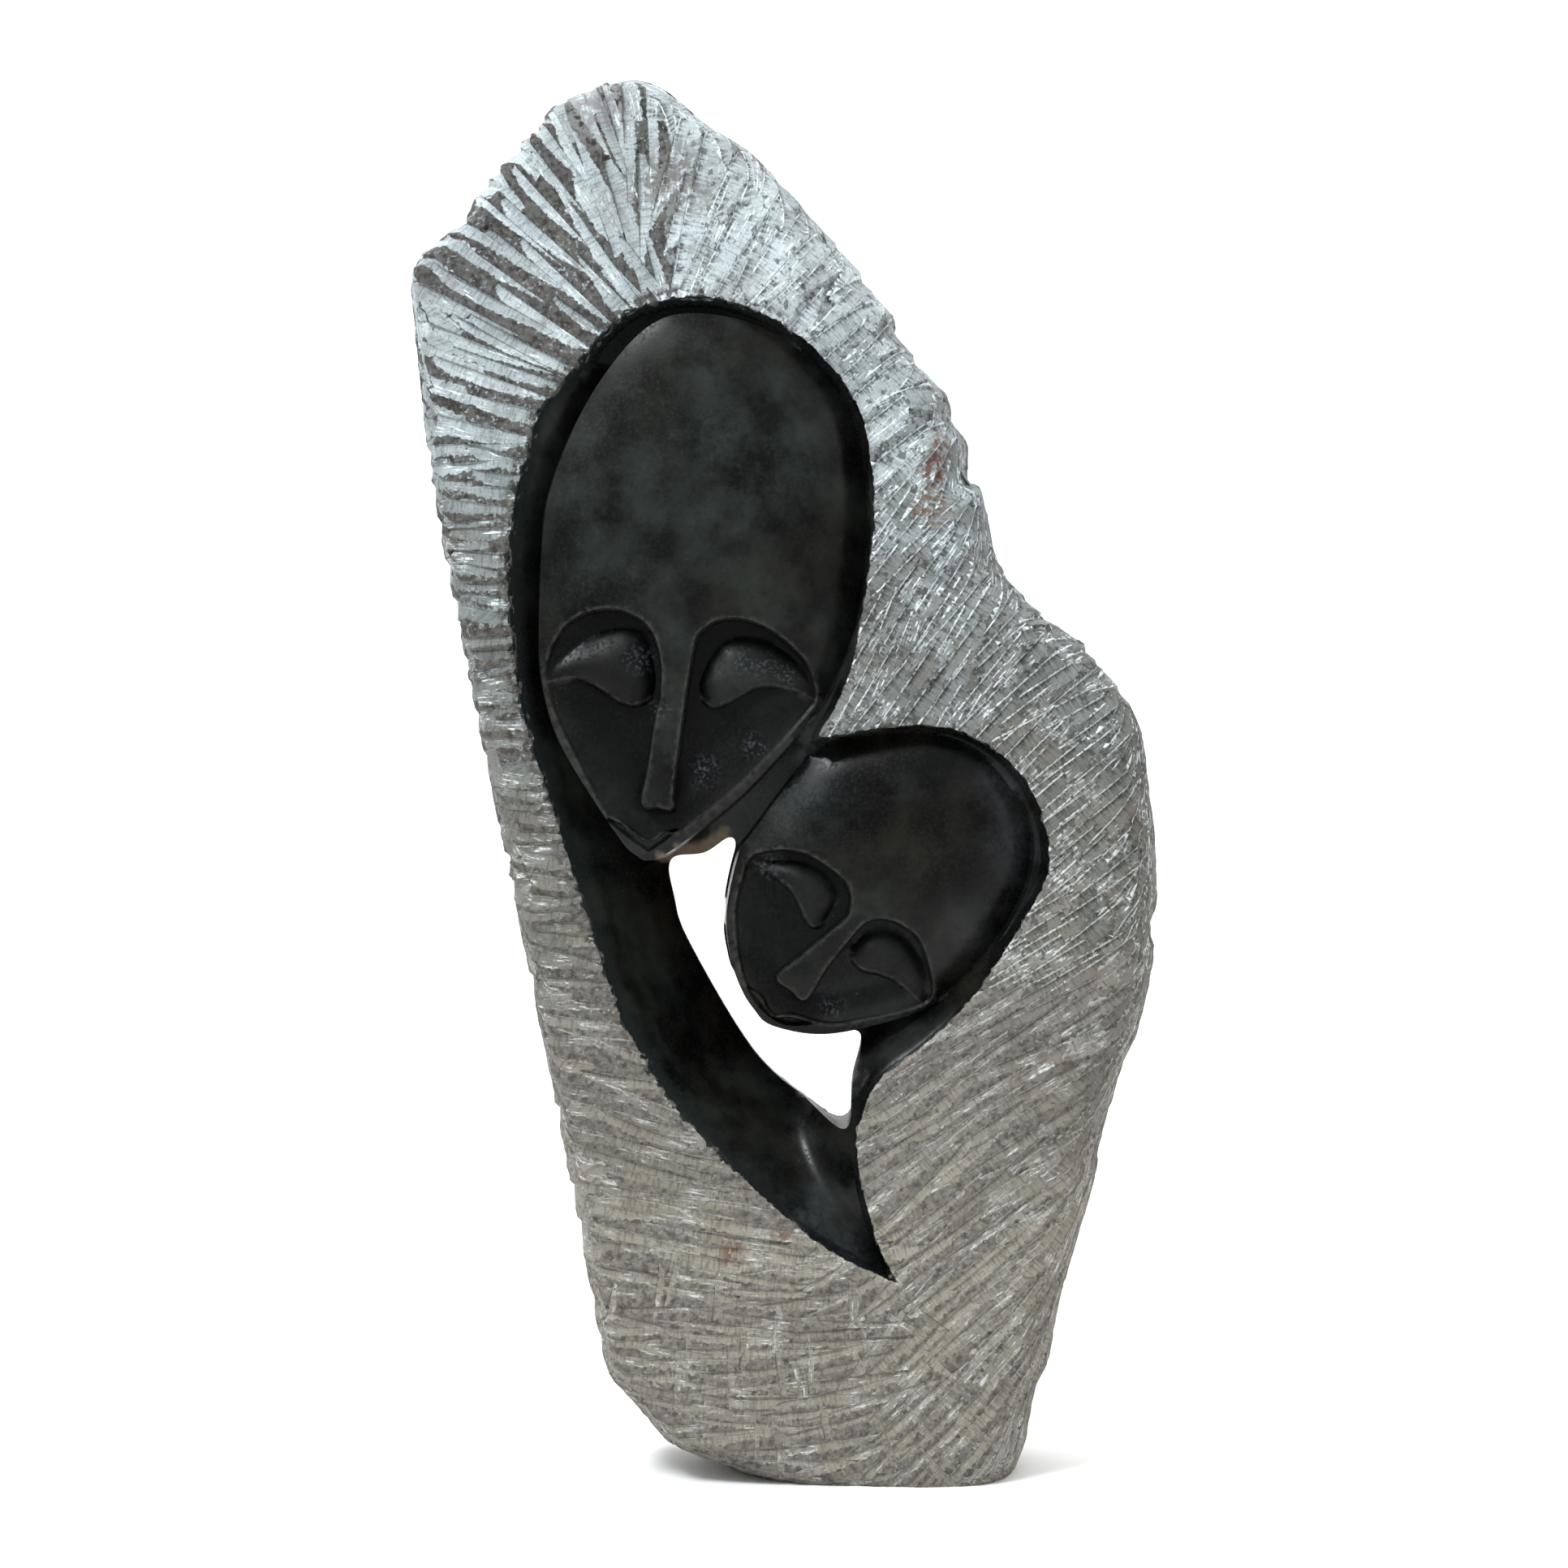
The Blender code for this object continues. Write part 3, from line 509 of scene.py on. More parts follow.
def head_surface(face, points, head):
    """Height of the uncarved head: a crowned surface that rolls down at its edge."""
    chin, crown = np.array(face["chin"], float), np.array(face["crown"], float)
    length = np.linalg.norm(crown - chin)
    axis = (crown - chin) / length
    middle = points - (chin + crown) / 2
    across = middle @ np.array([axis[1], -axis[0]]) / face["half_width"]
    along = middle @ axis / length * 2
    right = ease(0.5 + across)
    width = face["roll_left"][0] + (face["roll_right"][0] - face["roll_left"][0]) * right
    drop = face["roll_left"][1] + (face["roll_right"][1] - face["roll_left"][1]) * right
    edge = np.where(inside(points, head), distance(points, head), 0.0)
    roll = drop * (1.0 - np.clip(edge / width, 0.0, 1.0)) ** ROUND_POWER
    return (front_plane(points) + face["lift"] - face["arch"] * across ** 2
            - face["fall"] * along ** 2 - roll)


def lid_swell(lower, upper, points):
    """Share of a lid's full height at each point, with a bevel under its lower edge."""
    below, above = lid_line(lower), lid_line(upper)
    to_lower = distance(points, below, closed=False)
    width = to_lower + distance(points, above, closed=False)
    t = to_lower / np.maximum(width, 1e-9)
    on_lid = inside(points, np.concatenate([below, above[::-1][1:-1]]))
    swell = np.minimum(width / LID_SPAN, 1.0) ** 0.6 * (1.0 - t) ** 1.15 * (LID_EDGE + 2.4 * t)
    ends = np.minimum(np.linalg.norm(points - below[0], axis=1),
                      np.linalg.norm(points - below[-1], axis=1))
    taper = np.clip(ends / LID_TAPER, 0.0, 1.0) ** 0.6
    bevel = LID_EDGE * np.clip(1.0 - to_lower / LID_BEVEL, 0.0, 1.0) * taper
    return np.where(on_lid, np.minimum(swell, 1.0), bevel)


def face_height(face, points, head):
    """Height of a finished face: head, less sockets and cheeks, with lids and mouth."""
    carved = carved_line(face)
    within = inside(points, carved)
    wall = np.where(within, np.clip(distance(points, carved) / WALL, 0.0, 1.0), 0.0)
    from_jaw = ease(distance(points, head) / face["cheek_reach"])
    sunk = CHEEK_RIM_DEPTH + (face["socket"] - CHEEK_RIM_DEPTH) * from_jaw
    raised = np.max([lid_swell(low, high, points) for low, high in face["lids"]], axis=0)
    mouth = mouth_line(face)
    lips = np.where(inside(points, mouth), distance(points, mouth) / LIP_WALL, 0.0)
    return (head_surface(face, points, head)
            - wall * sunk * (1.0 - raised * face["lid"] / face["socket"])
            - LIP_CUT * np.clip(lips, 0.0, 1.0))


def hollow_floor(points):
    """Height of the polished floor between the rough rim, the two heads and the hole."""
    wall_line = np.concatenate([UNDER[:-1], OVER[:COVE_START + 1]])
    soft = distance(points, OVER[COVE_START:], closed=False)
    sharp = distance(points, wall_line, closed=False)
    mother = distance(points, MOTHER_HEAD)
    child = distance(points, CHILD_HEAD)
    hole = distance(points, THROUGH)
    nearest = np.sort(np.stack([soft, sharp, mother, child]), axis=0)
    deep = GROOVE_DEPTH + CHANNEL_DEPTH * np.exp(-hole / CHANNEL_FADE)
    deep = np.minimum(deep, FLOOR_SLOPE * (nearest[0] + nearest[1]))
    blend = 3.0
    others = -blend * np.log(sum(np.exp(-d / blend) for d in (sharp, mother, child, hole)))
    others = np.maximum(others, 0.0)
    cove = 1.0 - (1.0 - soft / np.maximum(soft + others, 1e-9)) ** ROUND_POWER
    from_shoulder = np.linalg.norm(points - np.array(SHOULDER, float), axis=1)
    shoulder = RIM_WALL + SHOULDER_WIDTH * np.exp(-(from_shoulder / SHOULDER_REACH) ** 2)
    roll = np.clip(sharp / shoulder, 0.0, 1.0) ** ROUND_POWER
    away = ease(from_shoulder / SHOULDER_REACH - 1.0)
    slope = SHOULDER_SLOPE + (WALL_SLOPE - SHOULDER_SLOPE) * away
    return front_plane(points) - np.minimum(deep * cove * roll, sharp * slope)


def edge_rings(loop, rounding, rows):
    """Loops from the outline inwards, for a rounded edge: (share of the depth, loop)."""
    steps = 12
    paths = [loop]
    for _ in range(steps):
        moved = paths[-1] + inward(paths[-1]) * (rounding / steps)[:, None]
        for _ in range(2):
            sides = np.roll(moved, 1, axis=0) + np.roll(moved, -1, axis=0)
            moved = 0.5 * moved + 0.25 * sides
        paths.append(moved)
    rings = []
    for row in range(rows + 1):
        angle = row / rows * math.pi / 2
        at = (1.0 - math.cos(angle)) * steps
        low = min(int(at), steps - 1)
        rings.append((math.sin(angle), paths[low] + (paths[low + 1] - paths[low]) * (at - low)))
    return rings


def lattice(loop, spacing):
    """Points on a triangular lattice inside a loop."""
    low, high = loop.min(axis=0), loop.max(axis=0)
    rows = np.arange(low[1], high[1], spacing * math.sqrt(3) / 2)
    points = np.array([(x + (i % 2) * spacing / 2, z) for i, z in enumerate(rows)
                       for x in np.arange(low[0], high[0], spacing)])
    return points[inside(points, loop)]


def carving_lines():
    """Every line that the front keeps crisp, each with its steep wall's other edge."""
    lines = [(RIM, True)]
    for face, head in FACES:
        carved, mouth = carved_line(face), mouth_line(face)
        lines += [(head, True), (inset(head, -WALL * 0.98), True)]
        lines += [(carved, True), (inset(carved, WALL), True)]
        lines += [(mouth, True), (inset(mouth, LIP_WALL), True)]
        for lower, upper in face["lids"]:
            edge = lid_line(lower)
            along = np.gradient(edge, axis=0)
            across = np.stack([along[:, 1], -along[:, 0]], axis=1)
            foot = edge + across / np.linalg.norm(across, axis=1)[:, None] * LID_BEVEL
            lines += [(edge, False), (foot[2:-2], False), (lid_line(upper), False)]
    lines += [(inset(RIM, RIM_WALL), True)]
    return lines


def rounding_along(loop):
    """Width of the rounded edge at each point: narrow on the left, broad on the right."""
    side = ease(loop[:, 0] / (0.55 * DRAWN_WIDTH) + 0.55)
    return ROUND_LEFT + (ROUND_RIGHT - ROUND_LEFT) * side


def rough_height(points):
    """Height of the rough front, rounded down towards the outline."""
    short = 1.0 - np.clip(distance(points, OUTER) / rounding_along(points), 0.0, 1.0)
    return front_plane(points) * np.sqrt(1.0 - short ** 2)


def search_tree(points):
    """A tree that finds the nearest of points in space, or of the drawing at height 0."""
    tree = kdtree.KDTree(len(points))
    for index, point in enumerate(points):
        tree.insert((*point, 0.0)[:3], index)
    tree.balance()
    return tree


def gaps_to(points, others):
    """Distance from each point of the drawing to the nearest of the others."""
    tree = search_tree(others)
    return np.array([tree.find((x, z, 0.0))[2] for x, z in points])


def scattered(zones, hole, corners):
    """Points that fill each zone at its own spacing, finer zones over coarser ones."""
    chosen = []
    for index, (zone, spacing) in enumerate(zones):
        grid = lattice(zone, spacing)
        free = inside(grid, zones[0][0]) & ~inside(grid, hole)
        for finer, _ in zones[index + 1:]:
            free &= ~inside(grid, finer)
        grid = grid[free]
        chosen.append(grid[gaps_to(grid, corners) > 0.6 * spacing])
    return np.concatenate(chosen)


def sheet(zones, hole, lines, loose=()):
    """Triangles between the first zone's loop and the hole, with the lines as edges, and
    the loose ones as well, which are known to be clear of the rest."""
    corners = np.empty((0, 2))
    edges = []
    for line, closed in [(zones[0][0], True), (hole, True), *lines]:
        kept = np.ones(len(line), bool)
        if line is not zones[0][0] and line is not hole:
            kept = ~inside(line, hole) & (distance(line, hole) > LINE_TO_HOLE)
            kept &= gaps_to(line, corners) > LINE_GAP
        places = np.cumsum(kept) - 1 + len(corners)
        corners = np.concatenate([corners, line[kept]])
        for i in range(len(line) if closed else len(line) - 1):
            j = (i + 1) % len(line)
            if kept[i] and kept[j]:
                edges.append((int(places[i]), int(places[j])))
    for line in loose:
        first = len(corners)
        corners = np.concatenate([corners, line])
        edges += [(first + i, first + i + 1) for i in range(len(line) - 1)]
    flat = np.concatenate([corners, scattered(zones, hole, corners)])
    points, _, faces, *_ = delaunay_2d_cdt([tuple(p) for p in flat], edges, [], 0, 1e-5)
    points = np.array([tuple(p) for p in points])
    faces = np.array(faces)
    centres = points[faces].mean(axis=1)
    faces = faces[inside(centres, zones[0][0]) & ~inside(centres, hole)]
    return points, faces, gaps_to(points, corners) < 0.01


def smoothed(points, faces, height, fixed):
    """Heights with the free ones drawn towards the mean of their neighbours."""
    pairs = np.concatenate([faces[:, [0, 1]], faces[:, [1, 2]], faces[:, [2, 0]]])
    pairs = np.concatenate([pairs, pairs[:, ::-1]])
    pairs = pairs[~fixed[pairs[:, 0]]]
    counts = np.maximum(np.bincount(pairs[:, 0], minlength=len(points)), 1)
    for _ in range(SOFTENING):
        mean = np.bincount(pairs[:, 0], height[pairs[:, 1]], minlength=len(points)) / counts
        height = np.where(fixed, height, 0.4 * height + 0.6 * mean)
    return height


def front_height(points):
    """Height of the whole carved front over the middle plane."""
    height = rough_height(points)
    hollow = np.nonzero(inside(points, RIM))[0]
    height[hollow] = hollow_floor(points[hollow])
    for face, head in FACES:
        within = inside(points[hollow], head)
        gap = np.where(within, 0.0, distance(points[hollow], head))
        near = hollow[gap < WALL]
        share = gap[gap < WALL] / WALL
        height[near] = (face_height(face, points[near], head) * (1.0 - share)
                        + height[near] * share)
    return height


def add_sheet(bm, points, faces, height):
    """Adds a sheet's faces to the mesh, leaving out points that no face uses."""
    placed = standing(points, height)
    made = {}
    for face in faces:
        for index in face:
            if index not in made:
                made[index] = bm.verts.new(placed[index])
        bm.faces.new([made[index] for index in face])


def add_strip(bm, rows):
    """Joins a list of closed rows of points, each as long as the next, with quads."""
    made = [[bm.verts.new(point) for point in row] for row in rows]
    for lower, upper in zip(made, made[1:]):
        for i in range(len(lower)):
            j = (i + 1) % len(lower)
            bm.faces.new((lower[i], lower[j], upper[j], upper[i]))


def standing(points, height):
    """Points of the drawing as points in space, at a height towards the front."""
    return np.stack([points[:, 0], -height, points[:, 1]], axis=1)


def base_mesh(loops, step_lines):
    """The carving without tool marks, in the drawing's millimetres: points and triangles."""
    bm = bmesh.new()
    face_edge, back_edge = loops[FRONT_ROWS][1], loops[-1][1]
    back_rows = [standing(loop, -share * back_plane(loop)) for share, loop in loops[1:]]
    front_rows = [standing(loop, share * front_plane(loop)) for share, loop in loops[:FRONT_ROWS]]
    front_rows.append(standing(face_edge, front_height(face_edge)))
    add_strip(bm, back_rows[::-1] + front_rows)

    zones = [(face_edge, ROUGH_SHEET), (RIM, HOLLOW_SHEET),
             (MOTHER_HEAD, HEAD_SHEET), (CHILD_HEAD, HEAD_SHEET)]
    zones += [(carved_line(face), SOCKET_SHEET) for face, _ in FACES]
    points, faces, on_line = sheet(zones, THROUGH, carving_lines(), step_lines)
    floor = inside(points, RIM) & ~inside(points, MOTHER_HEAD) & ~inside(points, CHILD_HEAD)
    height = smoothed(points, faces, front_height(points), on_line | ~floor)
    add_sheet(bm, points, faces, height)

    rear_hole = inset(THROUGH, -HOLE_FLARE)
    points, faces, _ = sheet([(back_edge, BACK_SHEET)], rear_hole, [])
    add_sheet(bm, points, faces, -back_plane(points))
    near, far = front_height(THROUGH), -back_plane(rear_hole)
    wall = []
    for share in np.linspace(0.0, 1.0, HOLE_ROWS):
        loop = THROUGH + (rear_hole - THROUGH) * share ** 2
        wall.append(standing(loop, near + (far - near) * share))
    add_strip(bm, wall)

    bmesh.ops.remove_doubles(bm, verts=bm.verts, dist=0.02)
    cut = bmesh.ops.bisect_plane(
        bm, geom=bm.verts[:] + bm.edges[:] + bm.faces[:], dist=1e-4,
        plane_co=(0, 0, 0), plane_no=(0, 0, -1), clear_outer=True)
    foot = [e for e in cut["geom_cut"] if isinstance(e, bmesh.types.BMEdge)]
    bmesh.ops.holes_fill(bm, edges=foot, sides=0)
    bmesh.ops.recalc_face_normals(bm, faces=bm.faces)
    bmesh.ops.triangulate(bm, faces=bm.faces)
    bm.verts.ensure_lookup_table()
    points = np.array([vert.co for vert in bm.verts])
    faces = np.array([[vert.index for vert in face.verts] for face in bm.faces])
    bm.free()
    return points, faces


def grain_angle(x, z):
    """Direction of the tool marks at a point of the drawing, in radians."""
    marks = np.array(GRAIN, float)
    gaps = (marks[:, 0] - x) ** 2 + (marks[:, 1] - z) ** 2
    near = 1.0 / (gaps + GRAIN_BLUR ** 2) ** 1.5
    double = np.radians(marks[:, 2]) * 2.0
    return 0.5 * math.atan2((near * np.sin(double)).sum(), (near * np.cos(double)).sum())


def vertex_normals(points, faces, chosen):
    """Unit normals of the points, from the chosen faces only."""
    a, b, c = (points[faces[chosen][:, k]] for k in range(3))
    across = np.cross(b - a, c - a)
    total = np.zeros_like(points)
    for k in range(3):
        np.add.at(total, faces[chosen][:, k], across)
    return total / np.maximum(np.linalg.norm(total, axis=1), 1e-9)[:, None]


def region(point, normal):
    """Name of the region whose tool marks a point of the rough stone has."""
    x, _, z = point
    if normal[1] > 0.5:
        return "back"
    if z > 372.0:
        return "crown" if x < -38.0 - 0.1 * (z - 440.0) else "shoulder"
    if x < -40.0 and z > 180.0:
        return "left"
    if z < 78.0 and x < 62.0:
        return "foot"
    return "lower" if z < 190.0 else "right"


class Strokes:
    """Tool marks spread over the rough stone, each with its own frame and size."""

    def __init__(self, rng):
        self.rng = rng
        self.centre, self.along, self.across = (np.empty((0, 3)) for _ in range(3))
        self.size = np.empty((0, 6))

    def spread(self, points, normals):
        """Adds marks at points picked in random order, where none is too near yet."""
        kept = [[tuple(row) for row in part]
                for part in (self.centre, self.along, self.across, self.size)]
        centre = np.zeros((MOST_MARKS, 3))
        centre[:len(self.centre)] = self.centre
        count = len(self.centre)
        for index in self.rng.permutation(len(points)):
            point, normal = points[index], normals[index]
            length, width, depth, dark, pitch, ridge, crossed = MARKS[region(point, normal)]
            angle = grain_angle(point[0], point[2]) + self.rng.normal(0.0, ANGLE_SPREAD)
            if self.rng.random() < crossed:
                angle += math.pi / 2
                length *= CROSSED_LENGTH
            along = np.array([math.cos(angle), 0.0, math.sin(angle)])
            along -= normal * (along @ normal)
            if np.linalg.norm(along) < LEAST_ALONG:
                along = np.array([0.0, 1.0, 0.0]) - normal * normal[1]
                length, width, depth = SIDE_SCALLOP
            along /= np.linalg.norm(along)
            across = np.cross(normal, along)
            # The crisp side of a mark is its upper left one
            if across[2] - 0.35 * across[0] < 0.0:
                across = -across
            away = centre[:count] - point
            close = (away @ along / (END_GAP * length)) ** 2
            close += (away @ across / (pitch * width)) ** 2 + (away @ normal / LEVEL_GAP) ** 2
            if count and close.min() < 1.0:
                continue
            inwards = np.array(STARTS_TOWARDS) - point
            if (along @ inwards < 0.0) != (self.rng.random() < REVERSED_SHARE):
                along = -along
            centre[count] = point
            count += 1
            kept[0].append(point)
            kept[1].append(along)
            kept[2].append(across)
            varied = [value * self.rng.uniform(*span)
                      for value, span in zip((length, width, depth, dark), SIZE_SPREAD)]
            kept[3].append((*varied, ridge, self.rng.random()))
        self.centre, self.along, self.across, self.size = (np.array(part) for part in kept)

    def place(self, points, chosen):
        """Where points lie in their strokes: mm along, share along and mm from the lower
        side, with the mm that the dark share takes there and the stroke's width."""
        length, width, _, dark, *_ = self.size[chosen].T
        away = points - self.centre[chosen]
        u = np.einsum("ij,ij->i", away, self.along[chosen])
        rise = np.einsum("ij,ij->i", away, self.across[chosen]) + width / 2
        share = u / length
        # The cut narrows from its middle to its tip, and a little at its start
        tip = np.clip((share + 0.12) / 0.62, 0.0, 1.0) ** 1.5
        start = np.clip((-0.34 - share) / 0.16, 0.0, 1.0)
        foot = dark + (1.0 - dark) * np.maximum(0.9 * tip, 0.5 * start)
        return u, share, rise, foot * width, width

    def depth_at(self, points, normals, index):
        """Depth that one stroke cuts at each point, next to none in its dark part."""
        chosen = np.full(len(points), index)
        _, share, rise, foot, width = self.place(points, chosen)
        up = np.cross(self.along[index], self.across[index])
        off = (points - self.centre[index]) @ up
        held = (np.abs(share) < 0.5) & (rise > 0.0) & (rise < width - STEP_WIDTH / 2)
        held &= (np.abs(off) < STROKE_THICKNESS) & (np.abs(normals @ up) > 0.3)
        slope = (rise - foot) / np.maximum(width - foot, 0.2)
        deep = self.size[index, 2] * (0.12 + 0.88 * slope) * (1.1 - 0.8 * (share + 0.5))
        return np.where(held, np.where(slope > 0.0, deep, DARK_DEPTH), 0.0)

    def cut(self, points, normals):
        """Greatest depth at each point, and the stroke that cuts it, or -1."""
        depth = np.zeros(len(points))
        winner = np.full(len(points), -1)
        for index, (centre, size) in enumerate(zip(self.centre, self.size)):
            reach = 0.5 * size[0] + size[1]
            near = np.nonzero(np.abs(points[:, 2] - centre[2]) < reach)[0]
            near = near[np.abs(points[near, 0] - centre[0]) < reach]
            deep = self.depth_at(points[near], normals[near], index)
            more = deep > depth[near]
            depth[near[more]] = deep[more]
            winner[near[more]] = index
        return depth, winner

    def nearest(self, points):
        """Index of the stroke whose centre is nearest to each point."""
        tree = search_tree(self.centre)
        return np.array([tree.find(point)[1] for point in points])

    def step_lines(self):
        """The crisp side of each stroke in the drawing: the top and the foot of its step."""
        lines = []
        for centre, along, across, size in zip(
                self.centre, self.along, self.across, self.size):
            count = max(3, int(size[0] / STEP_FACET))
            run = np.linspace(-0.5, 0.5, count)[:, None] * size[0] * along
            for side in (size[1] / 2, size[1] / 2 - STEP_WIDTH):
                lines.append((centre + run + across * side)[:, [0, 2]])
        return lines


def front_seeds(face_edge):
    """Evenly spread points of the rough front, with the normals there."""
    flat = lattice(face_edge, SEED_SPACING)
    flat = flat[~inside(flat, RIM)]
    nudge = 0.5
    height = rough_height(flat)
    lean_x = (rough_height(flat + (nudge, 0.0)) - height) / nudge
    lean_z = (rough_height(flat + (0.0, nudge)) - height) / nudge
    normals = np.stack([-lean_x, -np.ones(len(flat)), -lean_z], axis=1)
    normals /= np.linalg.norm(normals, axis=1)[:, None]
    return standing(flat, height), normals


def on_rough_front(lines, face_edge):
    """The parts of the lines that lie on the rough front, clear of its edges and each other."""
    points = np.concatenate(lines)
    owner = np.repeat(np.arange(len(lines)), [len(line) for line in lines])
    free = inside(points, face_edge) & ~inside(points, RIM)
    free &= (distance(points, face_edge) > 1.0) & (distance(points, RIM) > 1.0)
    tree = search_tree(points)
    for index, (x, z) in enumerate(points):
        near = [other for _, other, _ in tree.find_range((x, z, 0.0), LINE_GAP)]
        free[index] &= not any(other < index and free[other] for other in near)
    turns = (np.diff(owner) != 0) | (np.diff(free.astype(int)) != 0)
    runs = np.split(np.arange(len(points)), np.nonzero(turns)[0] + 1)
    return [points[run] for run in runs if free[run[0]] and len(run) > 1]


def grain_noise(points, scale):
    """Noise of the given grain size at each point."""
    return np.array([noise.noise(Vector(p) / scale) for p in points])


def worn_edges(points):
    """How near each point of the carving is to an edge that handling has worn pale."""
    worn = np.zeros(len(points))
    for face, head in FACES:
        lines = [(carved_line(face), True), (head, True)]
        lines += [(lid_line(lower), False) for lower, _ in face["lids"]]
        jaw = ease((face["jaw"] - points[:, 1]) / 40.0)
        for (line, closed), strength in zip(lines, (0.9, 0.5 * jaw, 0.9, 0.9)):
            near = strength * np.clip(1.0 - distance(points, line, closed), 0.0, 1.0)
            worn = np.maximum(worn, near)
    return worn


def raw_stone(points):
    """Share of unpolished brown stone: the opening's walls and the lip under the chin."""
    flat = points[:, [0, 2]]
    gap = np.where(inside(flat, THROUGH), 0.0, distance(flat, THROUGH))
    near = np.nonzero(gap < 7.0)[0]
    below = points[near, 1] + front_height(flat[near])
    x, z = flat[near].T
    strength = np.where((x > 12.0) | (z > 228.0), 1.0, 0.45) * np.where(z < 150.0, 0.3, 1.0)
    wall = ease((below - 0.6) / 3.0) * strength * (gap[near] < 3.5)
    chin = ease((z - 229.5) / 2.0) * ease((-19.5 - x) / 4.0) * ease((5.2 - gap[near]) / 2.0)
    chin[inside(flat[near], MOTHER_HEAD)] = 0.0
    raw = np.zeros(len(points))
    raw[near] = np.maximum(wall, chin)
    return raw


def face_shares(flat):
    """How much painted shade each point of a socket or cheek gets, and how far each point lies on
    a lid.
    """
    sunk, lid = np.zeros(len(flat)), np.zeros(len(flat))
    for face, head in FACES:
        line = carved_line(face)
        within = np.nonzero(inside(flat, line))[0]
        lids = np.max([lid_swell(*edges, flat[within]) for edges in face["lids"]], axis=0)
        deep = ease(distance(flat[within], head) / (1.3 * face["cheek_reach"]))
        near = np.clip(distance(flat[within], line) / 1.2, 0.0, 1.0)
        # Painted shade: darkest just inside the carved outline and away from the jaw, lighter on
        # the lids
        sunk[within] = near * (1.0 - 0.8 * lids) * (0.45 + 0.55 * deep)
        lid[within] = lids
    return sunk, lid


def rough_share(points, faces, polished):
    """1 on rough stone, less where it meets the polish, 0 on the polish and the underside."""
    rough_faces = np.bincount(faces[~polished].ravel(), minlength=len(points))
    all_faces = np.bincount(faces.ravel(), minlength=len(points))
    border = np.where(rough_faces > 0, BORDER_SHARE, 0.0)
    return np.where(points[:, 2] < FOOT_HEIGHT, 0.0,
                    np.where(rough_faces == all_faces, 1.0, border))


def tooled(points, normals, rough, strokes):
    """The points with the tool marks cut and the stone between them broken."""
    active = rough > 0.0
    depth, broken = np.zeros(len(points)), np.zeros(len(points))
    depth[active] = strokes.cut(points[active], normals[active])[0]
    broken[active] = grain_noise(points[active], 4.2) + 0.6 * grain_noise(points[active], 1.7)
    uneven = np.where(depth > 0.01, CUT_NOISE, BROKEN_NOISE)
    proud = TOOL_PROUD - depth + uneven * broken
    moved = points + normals * (rough * proud)[:, None]
    moved[:, 2] = np.maximum(moved[:, 2], 0.0)
    return moved


def fitted(points):
    """The points in metres, stretched to fill the solid's own box."""
    low, high = (np.array(corner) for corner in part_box(STONE))
    least, most = points.min(axis=0), points.max(axis=0)
    return (points - (most + least) / 2) * (high - low) / (most - least) + (low + high) / 2


def add_attribute(mesh, name, domain, values):
    """Writes one number, or one vector, for each element of the mesh."""
    values = np.asarray(values, np.float32)
    kind, key = ("FLOAT_VECTOR", "vector") if values.ndim == 2 else ("FLOAT", "value")
    mesh.attributes.new(name, kind, domain).data.foreach_set(key, values.ravel())


def mark_attributes(mesh, points, faces, rough_faces, strokes):
    """Writes where each face's corners lie in its tool mark, its seed and its ridge."""
    centres = points[faces].mean(axis=1)
    first, second, third = (points[faces[:, k]] for k in range(3))
    facing = np.cross(second - first, third - first)
    facing /= np.maximum(np.linalg.norm(facing, axis=1), 1e-9)[:, None]
    winner = np.full(len(faces), -1)
    winner[rough_faces] = strokes.cut(centres[rough_faces], facing[rough_faces])[1]
    marked = np.repeat(winner >= 0, 3)
    chosen = np.repeat(np.maximum(winner, 0), 3)
    u, share, rise, dark, width = strokes.place(points[faces.ravel()], chosen)
    ends = (0.5 - np.abs(share)) * strokes.size[chosen, 0]
    tool = np.stack([u, np.minimum(rise - dark, ends), width - rise], axis=1)
    tool[~marked] = (0.0, -5.0, 5.0)
    ridge = strokes.size[strokes.nearest(centres), 4]
    add_attribute(mesh, "tool", "CORNER", tool)
    add_attribute(mesh, "seed", "CORNER", np.where(marked, strokes.size[chosen, 5], 0.0))
    add_attribute(mesh, "ridge", "CORNER", np.repeat(ridge, 3))


def carving_attributes(mesh, points, faces, rough, polished):
    """Writes the polish, what the faces and the opening add to it, and the rim's place."""
    add_attribute(mesh, "polish", "FACE", polished)
    flat = points[:, [0, 2]]
    carved = np.nonzero((rough < 1.0) & (points[:, 2] > FOOT_HEIGHT))[0]
    # sunk carries the painted shade of the sockets and cheeks
    sunk, lid = face_shares(flat[carved])
    for name, values in (("raw", raw_stone(points[carved])), ("worn", worn_edges(flat[carved])),
                         ("sunk", sunk), ("lid", lid)):
        spread = np.zeros(len(points))
        spread[carved] = values
        add_attribute(mesh, name, "POINT", spread)
    near = np.nonzero((points[:, 1] < RIM_FRONT) & (np.abs(points[:, 2] - 260.0) < 200.0))[0]
    to_rim = np.full(len(points), -RIM_MARGIN)
    gap = distance(flat[near], RIM) * np.where(inside(flat[near], RIM), 1.0, -1.0)
    to_rim[near] = np.clip(gap, -RIM_MARGIN, RIM_MARGIN)
    add_attribute(mesh, "to_rim", "POINT", to_rim)
    margin = points[faces].mean(axis=1)[:, 1] < RIM_FRONT
    margin &= np.abs(to_rim[faces]).min(axis=1) < 0.8 * RIM_MARGIN
    add_attribute(mesh, "margin", "FACE", margin)


